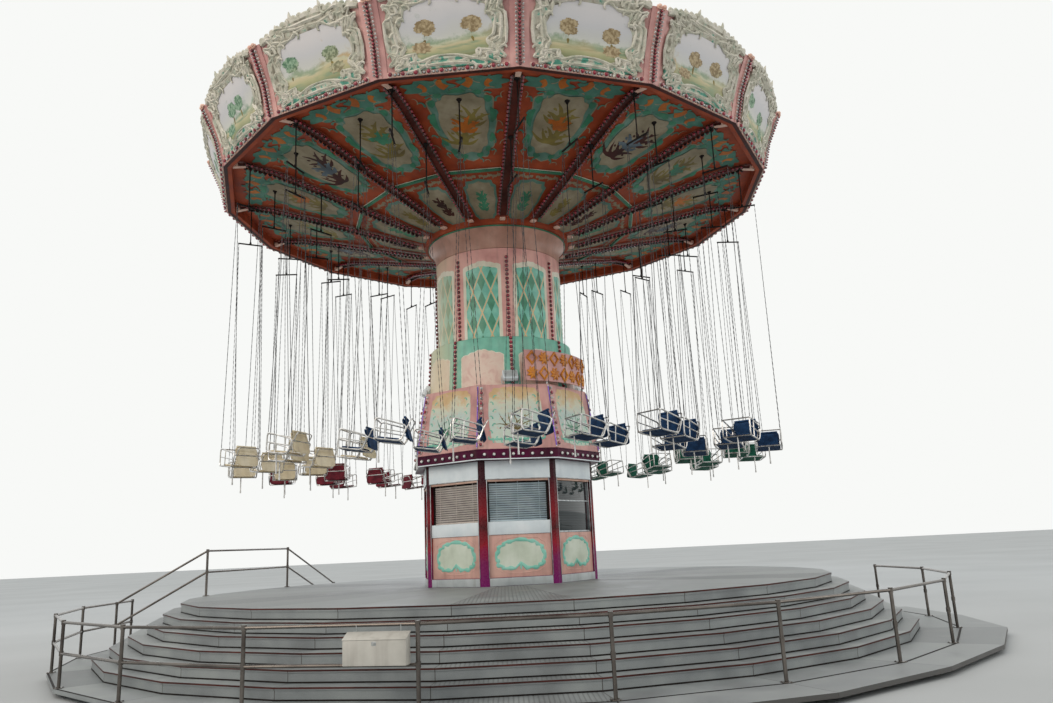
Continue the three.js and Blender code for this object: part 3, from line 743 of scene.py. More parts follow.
# %% Rail cabinet
CABINET_AT = RAIL_R * math.cos(math.radians(7.5)) + 0.0183
cabinet = bmesh.new()
stamp(cabinet, slab((0.255, -CABINET_AT - 0.148, 0.64), (1.045, -CABINET_AT - 0.002, 0.92), 0.01), index=0)
stamp(cabinet, slab((0.25, -CABINET_AT - 0.15, 0.922), (1.05, -CABINET_AT, 0.935), 0.004), index=0)
for vert in cabinet.verts:
    if vert.co.z > 0.8:
        vert.co.z += 0.075 * (vert.co.y + CABINET_AT + 0.15) / 0.15
for x in (0.37, 0.93):
    rod = tubes([even(((x, -CABINET_AT - 0.007, 0.93), (x, -CABINET_AT - 0.007, 1.085)), 0.006)], 8)
    stamp(cabinet, rod, index=1)
latch = slab((0.62, -CABINET_AT - 0.1495, 0.86), (0.68, -CABINET_AT - 0.14, 0.91), 0.003)
stamp(cabinet, latch, index=1)
cabinet.transform(turned(-22.5))
piece("rail_cabinet", cabinet, "base", [box_grey, galvanised], stands_for=["rail_box"])

# %% [markdown]
# ## The ticket booth
# The frame holds the booth's eight posts, its inner walls and a ring behind the windows. On the
# real booth the posts are glossy dark lacquer, brighter at the foot, and each face is filled with
# a plinth, a painted panel, a notice board, a blind and a head board. Each face is designed flat,
# with x across and y up, and turned into place.

# %% Booth finishes
def booth_lacquer(tree):
    """Deep lacquer: magenta at the foot, and wine and red in turn above."""
    spot = add(tree, "TexCoord").outputs["Object"]
    part = add(tree, "SeparateXYZ", {"Vector": spot})
    cloud = add(tree, "TexNoise", {"Vector": spot, "Scale": per_mm(300), "Detail": 4.0})
    shifted = add(tree, "Math", {0: cloud, 1: 0.5, 2: part.outputs[2]}, operation="MULTIPLY_ADD")
    height = add(tree, "MapRange", {0: shifted, 1: 1.4, 2: 3.8, 3: 0.0, 4: 1.0})
    stops = [(0.0, "#74125F"), (0.22, "#7C0F50"), (0.33, "#960D22"), (0.45, "#4A0710"), (0.6, "#850B1A"), (0.85, "#380512")]
    tone = add(tree, "ValToRGB", {"Fac": height}, stops=stops)
    scuff = add(tree, "TexNoise", {"Vector": spot, "Scale": per_mm(35), "Detail": 6.0})
    gloss = add(tree, "MapRange", {0: scuff, 1: 0.4, 2: 0.75, 3: 0.25, 4: 0.45})
    return {"Base Color": tone, "Roughness": gloss, "Specular IOR Level": 0.25}


def dark_window(tree):
    """Glazing over a lowered blind: nearly black glass with faint slat lines 34 mm apart."""
    spot = add(tree, "TexCoord").outputs["Object"]
    part = add(tree, "SeparateXYZ", {"Vector": spot})
    phase = add(tree, "Math", {0: part.outputs[2], 1: 2 * math.pi / 0.034}, operation="MULTIPLY")
    wave = add(tree, "Math", {0: phase}, operation="SINE")
    tone = add(tree, "ValToRGB", {"Fac": wave}, stops=[(0.0, "#1E2426"), (0.8, "#343C3F"), (1.0, "#4A5356")])
    return {"Base Color": tone, "Roughness": 0.06, "Coat Weight": 0.5, "IOR": 1.52}


lacquer = material("booth_lacquer", booth_lacquer)
window_glass = material("window_over_blind", dark_window)
# The inner walls and the ring behind the blinds are black: painted shade of the booth's inside, where it shows round
# the openings and between the slats.
for name, finish in (
    ("booth_frame", lacquer), ("booth_walls", soot), ("booth_blinds", soot), ("booth_door", pink),
    ("booth_ceiling", white_board), ("cornice", purple), ("skirt", pink), ("mast", galvanised),
):
    nodes[name].data.materials.clear()
    nodes[name].data.materials.append(finish)

# %% Booth faces
OPEN_HALF = FACE_HALF - 0.11
PLINTH_TOP, PANEL_TOP, SILL, HEAD, BOARD_TOP = 1.31, 2.136, 2.40, 3.245, 3.612
NOTICE_FACES, GLAZED_FACES, DOOR_FACE = (0, 7), (1,), 4


def on_booth(x, y, lift):
    """A point of a face that looks along -Y: x across, y up, lift outwards."""
    return Vector((x, -(FACE_AT + lift), y))


def face_slab(x0, x1, y0, y1, lift0, lift1, soften=0.003):
    """A board on a booth face."""
    return slab((x0, -(FACE_AT + lift1), y0), (x1, -(FACE_AT + lift0), y1), soften)


def blind(faces, wide):
    """Slats tilted outwards from the top, with ladder tapes and a bottom rail."""
    part = bmesh.new()
    pitch = 0.045
    count = int((HEAD - 0.05 - SILL) / pitch)
    for i in range(count):
        slat = slab((-wide, -0.019, -0.001), (wide, 0.019, 0.001))
        tilt = Matrix.Rotation(math.radians(-62), 4, "X")
        lift = Matrix.Translation((0, -(FACE_AT - 0.098), SILL + 0.02 + pitch * i))
        stamp(part, slat, [lift @ tilt])
    for x in (-wide * 0.75, 0.0, wide * 0.75):
        stamp(part, face_slab(x - 0.004, x + 0.004, SILL, HEAD - 0.04, -0.0825, -0.081, 0))
    stamp(part, face_slab(-wide, wide, SILL, SILL + 0.018, -0.108, -0.088, 0.002))
    return part


boards = bmesh.new()
for k in range(8):
    place = [turned(EIGHTH * k)]
    if k != DOOR_FACE:
        stamp(boards, face_slab(-OPEN_HALF, OPEN_HALF, 1.154, PLINTH_TOP - 0.004, 0.001, 0.009), place, 0)
        top = PANEL_TOP if k in NOTICE_FACES + GLAZED_FACES else SILL
        stamp(boards, face_slab(-OPEN_HALF + 0.003, OPEN_HALF - 0.003, 1.312, top, -0.06, -0.03), place, 1)
    if k in NOTICE_FACES:
        notice = face_slab(-OPEN_HALF + 0.003, OPEN_HALF - 0.003, PANEL_TOP + 0.004, SILL - 0.004, -0.06, -0.012)
        stamp(boards, notice, place, 2)
    head = face_slab(-0.664, 0.664, HEAD, BOARD_TOP - 0.004, 0.002, 0.014)
    stamp(boards, head, place, 2)
    rim = face_slab(-0.668, 0.668, HEAD - 0.012, HEAD + 0.006, 0.002, 0.02)
    stamp(boards, rim, place, 3)
    roller = tubes([even(((-OPEN_HALF + 0.01, -(FACE_AT - 0.032), 3.215), (OPEN_HALF - 0.01, -(FACE_AT - 0.032), 3.215)), 0.027)], 10)
    stamp(boards, roller, place, 4)
    for side in (-1, 1):
        x0, x1 = sorted((side * OPEN_HALF, side * (OPEN_HALF + 0.013)))
        stamp(boards, face_slab(x0, x1, PLINTH_TOP, HEAD - 0.014, 0.001, 0.008, 0.002), place, 3)
piece("booth_boards", boards, "base", [plinth_grey, peach, white_board, aluminium, blush])

warm, cool = bmesh.new(), bmesh.new()
for k in (7, 2, 5):
    stamp(warm, blind(k, 0.585), [turned(EIGHTH * k)])
for k in (0, 3, 6):
    stamp(cool, blind(k, 0.585), [turned(EIGHTH * k)])
piece("blinds_warm_grey", warm, "base", [slat_warm])
piece("blinds_cool_grey", cool, "base", [slat_cool])

glazing = bmesh.new()
for k in GLAZED_FACES:
    place = [turned(EIGHTH * k)]
    stamp(glazing, face_slab(-0.60, 0.60, 2.17, 3.19, -0.050, -0.044, 0.001), place, 0)
    for x0, x1, y0, y1 in ((-0.628, -0.60, 2.14, 3.19), (0.60, 0.628, 2.14, 3.19), (-0.6, 0.6, 2.14, 2.17), (-0.6, 0.6, 2.765, 2.79)):
        stamp(glazing, face_slab(x0, x1, y0, y1, -0.055, -0.028, 0.003), place, 1)
piece("booth_glazing", glazing, "base", [window_glass, aluminium])

# %% [markdown]
# ## Painted panels under the windows
# Each lower panel has a cream field in a broad mint outline with small curls, inside a thin
# embossed line. The field is a lobed plaque, and the curls are mirrored volutes.

# %% Lower panels
def outline_stroke(outline, wide, points=64):
    """A closed stroke along an outline."""
    path = [Vector((*outline(2 * math.pi * i / points), 0.0)) for i in range(points)]
    return [(p, wide * (1.0 + 0.35 * math.sin(i * 1.7))) for i, p in enumerate(path)]


PANEL_MID = (PLINTH_TOP + PANEL_TOP) / 2


def cartouche(angle):
    """The outline of a panel's field: arched above, notched below, and wider at its foot."""
    x, y = lobed(0.47, 0.25, 3.2, 12, 0.045)(angle)
    y += 0.05 * math.cos(math.pi * x / 0.9) if y > 0 else 0.12 * math.exp(-((x / 0.07) ** 2))
    return x * (1.0 - 0.2 * y), PANEL_MID + y


def panel_curls():
    """Curls and a shell round a booth panel's field, for one half."""
    lines = []
    for i in range(7):
        angle = math.radians(-80 + 27 * i)
        x, y = cartouche(angle)
        turn = 1 if i % 2 else -1
        lines.append(volute((x, y), 0.10, math.degrees(angle) + 60 * turn, 230 * turn, 0.013))
    lines.append(leaf((0.0, PANEL_MID - 0.27), (0.07, PANEL_MID - 0.12), 0.016, 0.5))
    return mirrored(lines)


lower = bmesh.new()
for k in range(8):
    if k == DOOR_FACE:
        continue
    place = [turned(EIGHTH * k)]
    stamp(lower, wrapped(plaque(cartouche, 16, -0.030, 0.003), on_booth), place, 0)
    rim = strokes([outline_stroke(cartouche, 0.036)], -0.027, 0.35, 6, True)
    stamp(lower, wrapped(rim, on_booth), place, 1)
    stamp(lower, wrapped(strokes(panel_curls(), -0.027, 0.35), on_booth), place, 1)
    outer = lobed(0.54, 0.34, 3.4, 12, 0.02, y=PANEL_MID + 0.01)
    line = strokes([outline_stroke(outer, 0.009)], -0.029, 0.5, 6, True)
    stamp(lower, wrapped(line, on_booth), place, 2)
piece("booth_panel_paint", lower, "base", [pale_green, mint, peach])

# %% [markdown]
# ## The door at the back
# The door's slab is in the frame. It gets a raised panel, three hinges, a lever with its plate,
# and a kick plate.

# %% Door
door = bmesh.new()
back = [turned(180.0)]
DOOR_HALF = OPEN_HALF - 0.05
stamp(door, face_slab(-DOOR_HALF + 0.1, DOOR_HALF - 0.1, 2.35, 3.05, -0.0845, -0.078, 0.003), back, 0)
stamp(door, face_slab(-DOOR_HALF + 0.02, DOOR_HALF - 0.02, 1.17, 1.36, -0.0845, -0.082, 0.001), back, 1)
stamp(door, face_slab(DOOR_HALF - 0.12, DOOR_HALF - 0.07, 2.05, 2.27, -0.0845, -0.078, 0.002), back, 1)
lever_at = -(FACE_AT - 0.05)
lever = [(DOOR_HALF - 0.095, -(FACE_AT - 0.08), 2.19), (DOOR_HALF - 0.095, lever_at, 2.19), (DOOR_HALF - 0.22, lever_at, 2.19)]
stamp(door, tubes([even(rounded(lever, 0.02), 0.009)], 8), back, 1)
for z in (1.45, 2.18, 2.95):
    hinge = tubes([even(((-DOOR_HALF - 0.006, -(FACE_AT - 0.076), z), (-DOOR_HALF - 0.006, -(FACE_AT - 0.076), z + 0.11)), 0.008)], 8)
    stamp(door, hinge, back, 1)
field = lobed(0.36, 0.30, 3.0, 8, 0.04, y=1.85)
stamp(door, wrapped(plaque(field, 12, -0.0845, 0.003), on_booth), back, 2)
piece("booth_door_fittings", door, "base", [pink, aluminium, cream])

# %% [markdown]
# ## Cornice
# Over the booth runs a dark purple cornice with a white lower line and a row of clear lamps, eight
# to a face.

# %% Cornice
CORNICE_R = 2.14
CORNICE_LOW, CORNICE_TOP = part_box("cornice")[0].z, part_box("cornice")[1].z
CORNICE_AT = CORNICE_R * math.cos(math.radians(22.5))
trim = bmesh.new()
for z0, z1, index in ((CORNICE_LOW - 0.001, CORNICE_LOW + 0.02, 0), (CORNICE_TOP - 0.022, CORNICE_TOP - 0.002, 1)):
    ring = spun([(CORNICE_R + 0.001, z0), (CORNICE_R + 0.012, z0), (CORNICE_R + 0.012, z1), (CORNICE_R + 0.001, z1)], 8, 22.5)
    stamp(trim, ring, index=index)
piece("cornice_lines", trim, "base", [white_board, purple])

lamps = bmesh.new()
spots = []
for k in range(8):
    for i in range(8):
        x = (i - 3.5) * 0.196
        spots.append(turned(EIGHTH * k) @ facing(Vector((x, -CORNICE_AT - 0.0005, 3.72)), Vector((0, -1, 0))))
stamp(lamps, lamp(0.075, 0.05, 8), spots)
piece("cornice_lamps", lamps, "base", [dark_collar, clear_cap])

# %% [markdown]
# ## Skirt
# The flared skirt hides the foot of the drum. Each of its eight faces has a faded painting: pale
# blue-green in the middle, ochre where the top has weathered, a spray of leaves, and turquoise
# scrolls at the foot. The painting is a plaque whose own map is in metres, so that the fading
# can follow its height.

# %% Skirt painting
SKIRT_LOW, SKIRT_TOP = CORNICE_TOP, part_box("skirt")[1].z
SKIRT_R = (CORNICE_R - 0.01, 1.91)


def on_skirt(x, y, lift):
    """A point of the skirt's front face: y counts up from its foot."""
    t = y / (SKIRT_TOP - SKIRT_LOW)
    apothem = (SKIRT_R[0] + (SKIRT_R[1] - SKIRT_R[0]) * t) * math.cos(math.radians(22.5))
    tilt = math.atan((SKIRT_R[0] - SKIRT_R[1]) * 0.924 / (SKIRT_TOP - SKIRT_LOW))
    return Vector((x, -(apothem + lift * math.cos(tilt)), SKIRT_LOW + y + lift * math.sin(tilt)))


def faded_fresco(tree):
    """Old paint: blue-green below, ochre near the top edge, pink ground rubbed through."""
    spot = add(tree, "TexCoord").outputs["Object"]
    height = add(tree, "SeparateXYZ", {"Vector": add(tree, "UVMap").outputs[0]}).outputs[1]
    cloud = add(tree, "TexNoise", {"Vector": spot, "Scale": per_mm(260), "Detail": 8.0, "Roughness": 0.65})
    mixed = add(tree, "Math", {0: cloud, 1: 0.9, 2: height}, operation="MULTIPLY_ADD")
    share = add(tree, "MapRange", {0: mixed, 1: 0.4, 2: 1.9, 3: 0.0, 4: 1.0})
    stops = [(0.0, "#BFCDBB"), (0.25, "#C6D2C4"), (0.5, "#B9CBC4"), (0.68, "#CFCFB9"), (0.8, "#CDB184"), (1.0, "#C49A6C")]
    tone = add(tree, "ValToRGB", {"Fac": share}, stops=stops)
    spot_rub = add(tree, "TexNoise", {"Vector": spot, "Scale": per_mm(70), "Detail": 9.0})
    rub = add(tree, "MapRange", {0: spot_rub, 1: 0.56, 2: 0.72, 3: 0.0, 4: 0.7})
    colour = add(tree, "Mix", {0: rub, 6: tone, 7: linear("#D9A79A")}, data_type="RGBA").outputs[2]
    return {"Base Color": colour, "Roughness": 0.6}


fresco = material("faded_fresco", faded_fresco)


def spray(x, y, size, count, wide):
    """A spray of leaf strokes that fan out from one point."""
    lines = []
    for i in range(count):
        angle = math.radians(15 + 150 * i / (count - 1))
        reach = size * (0.65 + 0.35 * math.sin(i * 2.4))
        tip = (x + reach * math.cos(angle), y + reach * math.sin(angle))
        lines.append(leaf((x, y), tip, wide, 0.25 if i % 2 else -0.25, 5))
        bud = (x + 0.7 * reach * math.cos(angle + 0.18), y + 0.7 * reach * math.sin(angle + 0.18))
        lines.append(leaf(bud, (bud[0] + 0.03, bud[1] + 0.04), wide * 1.3, 0.3, 4))
    return lines


def skirt_scrolls():
    """Turquoise scrollwork along the foot and sides of a skirt painting."""
    lines = []
    for i in range(6):
        lines.append(volute((0.05 + 0.085 * i, 0.19 + 0.02 * (i % 2)), 0.15, 25 - 60 * (i % 2), 260 if i % 2 else -260, 0.026))
    for i in range(6):
        lines.append(volute((0.50 - 0.012 * i, 0.32 + 0.15 * i), 0.10, 95, 220 if i % 2 else -220, 0.016))
    lines.append(leaf((0.0, 0.12), (0.16, 0.17), 0.022, 0.4))
    return mirrored(lines)


paintings = bmesh.new()
for k in range(8):
    place = [turned(EIGHTH * k)]
    field = lobed(0.55, 0.60, 5.0, 12, 0.02, y=0.70)
    stamp(paintings, wrapped(plaque(field, 16, 0.0005, 0.003), on_skirt), place, 0)
    stamp(paintings, wrapped(strokes(skirt_scrolls(), 0.004, 0.35), on_skirt), place, 1)
    stamp(paintings, wrapped(strokes(spray(0.0, 0.38, 0.52, 15, 0.011), 0.004, 0.3), on_skirt), place, 2 + k % 2)
piece("skirt_paintings", paintings, "base", [fresco, turquoise, umber, leaf_green])

# %% [markdown]
# Each corner of the skirt carries a violet lamp tube and, beside it, a row of red and clear caps
# in turn. Four floodlights stand on the ledge at the skirt's top.

# %% Skirt corners and floodlights
def skirt_corner(azimuth, y, aside, lift):
    """A point beside a corner of the skirt: aside goes along the surface, to the right."""
    t = y / (SKIRT_TOP - SKIRT_LOW)
    radius = SKIRT_R[0] + (SKIRT_R[1] - SKIRT_R[0]) * t
    return turned(azimuth) @ Vector((aside, -(radius + lift - abs(aside) * math.tan(math.radians(22.5))), SKIRT_LOW + y))


corner = bmesh.new()
corner_lamps = bmesh.new()
red_spots, clear_spots = [], []
for k in range(8):
    azimuth = EIGHTH * k - 22.5
    line = [skirt_corner(azimuth, y, -0.015, 0.016) for y in (0.02, 1.33)]
    stamp(corner, tubes([even(line, 0.011)], 8), index=0)
    for y in (0.03, 0.45, 0.9, 1.32):
        clip = [skirt_corner(azimuth, y - 0.012, -0.015, 0.014), skirt_corner(azimuth, y + 0.012, -0.015, 0.014)]
        stamp(corner, tubes([even(clip, 0.014)], 8), index=1)
    for i in range(12):
        outward = turned(azimuth + 11) @ Vector((0, -1, 0.15))
        spot = facing(skirt_corner(azimuth, 0.09 + 0.108 * i, 0.055, 0.0), outward.normalized())
        (clear_spots if i % 2 else red_spots).append(spot)
piece("skirt_tubes", corner, "base", [violet_tube, aluminium])
stamp(corner_lamps, lamp(0.098, 0.06, 8), red_spots)
piece("skirt_red_lamps", corner_lamps, "base", [collar, red_cap])
corner_clear = bmesh.new()
stamp(corner_clear, lamp(0.068, 0.045, 8), clear_spots)
piece("skirt_clear_lamps", corner_clear, "base", [collar, silver_cap])


def floodlight():
    """A flat floodlight on a yoke, its foot at the origin, looking outwards along -Y and up."""
    part = bmesh.new()
    case = slab((-0.14, -0.05, -0.105), (0.14, 0.05, 0.105), 0.018)
    tilt = Matrix.Translation((0, 0, 0.17)) @ Matrix.Rotation(math.radians(-35), 4, "X")
    stamp(part, case, [tilt], 0)
    stamp(part, slab((-0.12, -0.053, -0.085), (0.12, -0.0495, 0.085), 0.001), [tilt], 1)
    for i in range(6):
        x = -0.1 + 0.04 * i
        stamp(part, slab((x - 0.003, 0.048, -0.09), (x + 0.003, 0.075, 0.09)), [tilt], 0)
    yoke = rounded([(-0.155, 0, 0.17), (-0.155, 0, 0.012), (0.155, 0, 0.012), (0.155, 0, 0.17)], 0.03)
    stamp(part, tubes([even(yoke, 0.009)], 8), index=2)
    stamp(part, slab((-0.05, -0.03, 0.001), (0.05, 0.03, 0.012), 0.002), index=2)
    return part


floods = bmesh.new()
ledge = [turned(90.0 * k) @ Matrix.Translation((0, -(SKIRT_R[1] * 0.924 - 0.035), SKIRT_TOP)) for k in range(4)]
ledge[0] = turned(-2.0) @ Matrix.Translation((0, -(SKIRT_R[1] * 0.924 - 0.035), SKIRT_TOP))
stamp(floods, floodlight(), [spot @ Matrix.Scale(1.15, 4) for spot in ledge])
piece("floodlights", floods, "base", [white_board, plinth_grey, galvanised])

# %% [markdown]
# ## Drum
# The drum is round on the real ride, while the frame's drum has thirty-two sides. A lathe profile
# with many more steps stands for it. It is turquoise, with scallop-topped panels of pinkish
# marbling between eight upright rows of red lamps.

# %% Drum
DRUM_R = (1.66, 1.60)
FINE = 128


def drum_radius(z):
    """The drum's outer radius at a height."""
    return DRUM_R[0] + (DRUM_R[1] - DRUM_R[0]) * (z - DRUM_LOW) / (DRUM_HIGH - DRUM_LOW)


def on_drum(x, z, lift):
    """A point of the drum: x runs round it in metres from azimuth 0."""
    radius = drum_radius(z)
    return around(radius + lift, math.degrees(x / radius), z)


def marble(tree):
    """Sponged marbling in pink and cream, with drifting veins."""
    spot = add(tree, "TexCoord").outputs["Object"]
    warp = add(tree, "TexNoise", {"Vector": spot, "Scale": per_mm(500), "Detail": 3.0}).outputs[1]
    bent = add(tree, "VectorMath", {0: warp, 1: spot}, operation="ADD")
    cloud = add(tree, "TexNoise", {"Vector": bent, "Scale": per_mm(240), "Detail": 7.0})
    stops = [(0.3, "#CFA99C"), (0.45, "#D9BCAD"), (0.6, "#DCC6B6"), (0.75, "#D4AFA1")]
    tone = add(tree, "ValToRGB", {"Fac": cloud}, stops=stops)
    return {"Base Color": tone, "Roughness": 0.45, "Coat Weight": 0.1}


marbled = material("pink_marbling", sun_bleached(marble))
drum_paint = material("drum_turquoise", sun_bleached(painted(("#5CA893", "#74BAA4", "#8DC8B4"), rough=0.5)))
wall = bmesh.new()
inside = 1.52
shell = [(inside, DRUM_LOW), (1.595, DRUM_LOW), (1.595, SKIRT_TOP + 0.0003), (1.64, SKIRT_TOP + 0.0003)]
shell += [(1.64, DRUM_LOW), (DRUM_R[0], DRUM_LOW), (DRUM_R[1], DRUM_HIGH - 0.012), (DRUM_R[1] - 0.012, DRUM_HIGH)]
shell += [(inside, DRUM_HIGH), (inside, DRUM_HIGH - 0.05), (1.56, DRUM_HIGH - 0.05), (1.62, DRUM_LOW + 0.05), (inside, DRUM_LOW + 0.05)]
stamp(wall, spun(shell, FINE), index=0)
piece("drum_wall", wall, "drum", [drum_paint], stands_for=["drum"])


def scallop_top(wide, low, high, arch):
    """An upright panel: straight sides and foot, and a top that rises in scallops to its middle."""

    def reach(angle):
        c, s = math.cos(angle), math.sin(angle)
        x = wide * math.copysign(min(1.0, abs(c) * 1.45), c)
        mid = (low + high) / 2
        if s <= 0:
            return x, mid + (low - mid) * min(1.0, abs(s) * 1.45)
        share = 1.0 - abs(x) / wide
        crest = high + arch * share + arch * 0.22 * abs(math.sin(share * 3 * math.pi))
        return x, mid + (crest - mid) * min(1.0, s * 1.45)

    return reach


ARC = math.radians(EIGHTH) * 1.63
panels = bmesh.new()
drum_panel = scallop_top(ARC * 0.37, DRUM_LOW + 0.03, 5.86, 0.13)
for k in range(8):
    place = [turned(EIGHTH * (k + 0.5))]
    stamp(panels, wrapped(plaque(drum_panel, 18, 0.001, 0.003), on_drum), place, 0)
    ring = strokes([outline_stroke(drum_panel, 0.009, 96)], 0.004, 0.5, 6, True)
    stamp(panels, wrapped(ring, on_drum), place, 1)
piece("drum_panels", panels, "drum", [marbled, cream])


def board_slab(place_at, low, high, half, thick):
    """A narrow upright board bent onto a round wall."""
    part = bmesh.new()
    bmesh.ops.create_grid(part, x_segments=2, y_segments=6, size=1.0)
    for vert in part.verts:
        vert.co = Vector((vert.co.x * half, (low + high) / 2 + vert.co.y * (high - low) / 2, thick))
    bmesh.ops.recalc_face_normals(part, faces=part.faces[:])
    bmesh.ops.solidify(part, geom=part.faces[:], thickness=thick - 0.0005)
    return wrapped(part, place_at)


def lamp_rows(body, name, place_at, heights, width, tall, board):
    """Eight upright rows of red lamps on dark boards."""
    strips, caps = bmesh.new(), bmesh.new()
    for k in range(8):
        base = board_slab(place_at, heights[0] - 0.05, heights[-1] + 0.05, 0.032, board)
        stamp(strips, base, [turned(EIGHTH * k)])
    spots = [
        turned(EIGHTH * k) @ facing(place_at(0.0, z, board), Vector((0, -1, 0)))
        for k in range(8) for z in heights
    ]
    stamp(caps, lamp(width, tall, 8), spots)
    piece(name + "_boards", strips, body, [rose])
    piece(name + "_lamps", caps, body, [dark_collar, red_cap])


drum_heights = [DRUM_LOW + 0.06 + 0.098 * i for i in range(11)]
lamp_rows("drum", "drum_row", on_drum, drum_heights, 0.08, 0.045, 0.006)

# %% [markdown]
# ## Sign board
# A curved board stands on two posts on the skirt's ledge, at the front right. Its face has two
# rows of open orange emblems in relief: rosettes and lozenges in turn, studded with small lamps.

# %% Sign board
SIGN_R = 1.90
SIGN_LOW, SIGN_HIGH = 5.252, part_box("sign_board")[1].z
SIGN_MID, SIGN_SPAN = 37.0, 60.6


def on_sign(x, z, lift):
    """A point on the sign's face, x from its middle."""
    return around(SIGN_R + lift, SIGN_MID + math.degrees(x / SIGN_R), z)


half_sign = math.radians(SIGN_SPAN / 2) * SIGN_R
sign = bmesh.new()
curved = bmesh.new()
bmesh.ops.create_grid(curved, x_segments=24, y_segments=2, size=1.0)
for vert in curved.verts:
    z = (SIGN_LOW + SIGN_HIGH) / 2 + vert.co.y * (SIGN_HIGH - SIGN_LOW) / 2
    vert.co = Vector((vert.co.x * (half_sign - 0.002), z, 0.0))
bmesh.ops.recalc_face_normals(curved, faces=curved.faces[:])
bmesh.ops.solidify(curved, geom=curved.faces[:], thickness=0.025)
stamp(sign, wrapped(curved, on_sign), index=0)
for azimuth in (22.5, 66.0):
    leg = even((around(1.862, azimuth, SKIRT_TOP + 0.001), around(1.862, azimuth, SIGN_HIGH - 0.06)), 0.018)
    stamp(sign, tubes([leg], 8), index=2)
    sole = Matrix.Translation((0, -1.855, SKIRT_TOP))
    stamp(sign, slab((-0.022, -0.022, 0.001), (0.022, 0.022, 0.009), 0.002), [turned(azimuth) @ sole], 2)
sign_lamps = []
for row, z in enumerate((SIGN_HIGH - 0.165, SIGN_LOW + 0.165)):
    for i in range(7):
        x = (i - 3) * 0.276
        if (i + row) % 2:
            lines = [leaf((x, z), (x + 0.13 * math.cos(a), z + 0.145 * math.sin(a)), 0.036, 0.2, 5) for a in [math.radians(45 * j + 22) for j in range(8)]]
            stamp(sign, wrapped(strokes(lines, 0.012, 0.7), on_sign), index=1)
        else:
            corners = [(x, z + 0.13), (x + 0.105, z), (x, z - 0.13), (x - 0.105, z)]
            frame_line = [(Vector((*p, 0.0)), 0.036) for p in corners]
            stamp(sign, wrapped(strokes([frame_line], 0.012, 0.7, 6, True), on_sign), index=1)
            sign_lamps += corners
        sign_lamps.append((x, z))
outward = [on_sign(x, z, 0.028) for x, z in sign_lamps]
spots = [facing(p, Vector((p.x, p.y, 0)).normalized()) for p in outward]
stamp(sign, lamp(0.03, 0.022, 6), spots)
piece("sign_emblems", sign, "base", [pink, amber, galvanised], stands_for=["sign_board"])

# %% [markdown]
# ## Column
# The lifting column is a round shell. Its panels are tall, with a scalloped cream edge and a field
# of lozenges: dark green ones set in turquoise, divided by salmon-yellow lines. They are
# drawn in the material from the panel's own map, which is in metres, so each one has its real
# width and height.

# %% Column
def on_column(x, z, lift):
    """A point of the column: x runs round it in metres from azimuth 0."""
    return around(COLUMN_R + lift, math.degrees(x / COLUMN_R), z)


LOZENGE = (0.205, 0.49)


def harlequin(tree):
    """Lozenges in rows: dark green and turquoise, with painted lines between them."""
    flat = add(tree, "SeparateXYZ", {"Vector": add(tree, "UVMap").outputs[0]})
    u = add(tree, "Math", {0: flat.outputs[0], 1: LOZENGE[0]}, operation="DIVIDE")
    v = add(tree, "Math", {0: flat.outputs[1], 1: LOZENGE[1]}, operation="DIVIDE")
    p = add(tree, "Math", {0: u, 1: v}, operation="ADD")
    q = add(tree, "Math", {0: v, 1: u}, operation="SUBTRACT")
    rows = add(tree, "Math", {0: add(tree, "Math", {0: p}, operation="FLOOR"), 1: add(tree, "Math", {0: q}, operation="FLOOR")}, operation="ADD")
    even_row = add(tree, "Math", {0: rows, 1: 2.0}, operation="FLOORED_MODULO")
    near = [add(tree, "Math", {0: line, 1: 1.0}, operation="PINGPONG") for line in (p, q)]
    least = add(tree, "Math", {0: near[0], 1: near[1]}, operation="MINIMUM")
    border = add(tree, "Math", {0: least, 1: 0.14}, operation="LESS_THAN")
    light = add(tree, "Math", {0: even_row, 1: border}, operation="MAXIMUM")
    spot = add(tree, "TexCoord").outputs["Object"]
    cloud = add(tree, "TexNoise", {"Vector": spot, "Scale": per_mm(160), "Detail": 5.0})
    green = add(tree, "ValToRGB", {"Fac": cloud}, stops=[(0.35, "#2F7A5B"), (0.65, "#459272")])
    blue = add(tree, "ValToRGB", {"Fac": cloud}, stops=[(0.35, "#62B09C"), (0.65, "#83C9B4")])
    cell = add(tree, "Mix", {0: light, 6: green, 7: blue}, data_type="RGBA").outputs[2]
    line = add(tree, "Math", {0: least, 1: 0.07}, operation="LESS_THAN")
    colour = add(tree, "Mix", {0: line, 6: cell, 7: linear("#D9B583")}, data_type="RGBA").outputs[2]
    return {"Base Color": colour, "Roughness": 0.4, "Coat Weight": 0.15}


lozenges = material("harlequin_paint", sun_bleached(harlequin))
shell_paint = material("bleached_rose", sun_bleached(painted(("#CC8F87", "#DDA198", "#E8B5A8"), rough=0.35, coat=0.2)))
tower = bmesh.new()
tube_wall = [(1.42, COLUMN_LOW), (COLUMN_R, COLUMN_LOW), (COLUMN_R, COLUMN_TOP), (0.05, COLUMN_TOP)]
tube_wall += [(0.05, COLUMN_TOP - 0.06), (1.42, COLUMN_TOP - 0.06)]
stamp(tower, spun(tube_wall, FINE), index=0)
ram = [(0.0, RAM_LOW), (0.06, RAM_LOW), (0.06, COLUMN_TOP - 0.062), (0.0, COLUMN_TOP - 0.062)]
stamp(tower, spun(ram, 24, closed=False), index=1)
piece("column_wall", tower, "column", [shell_paint, stainless], stands_for=["column"])

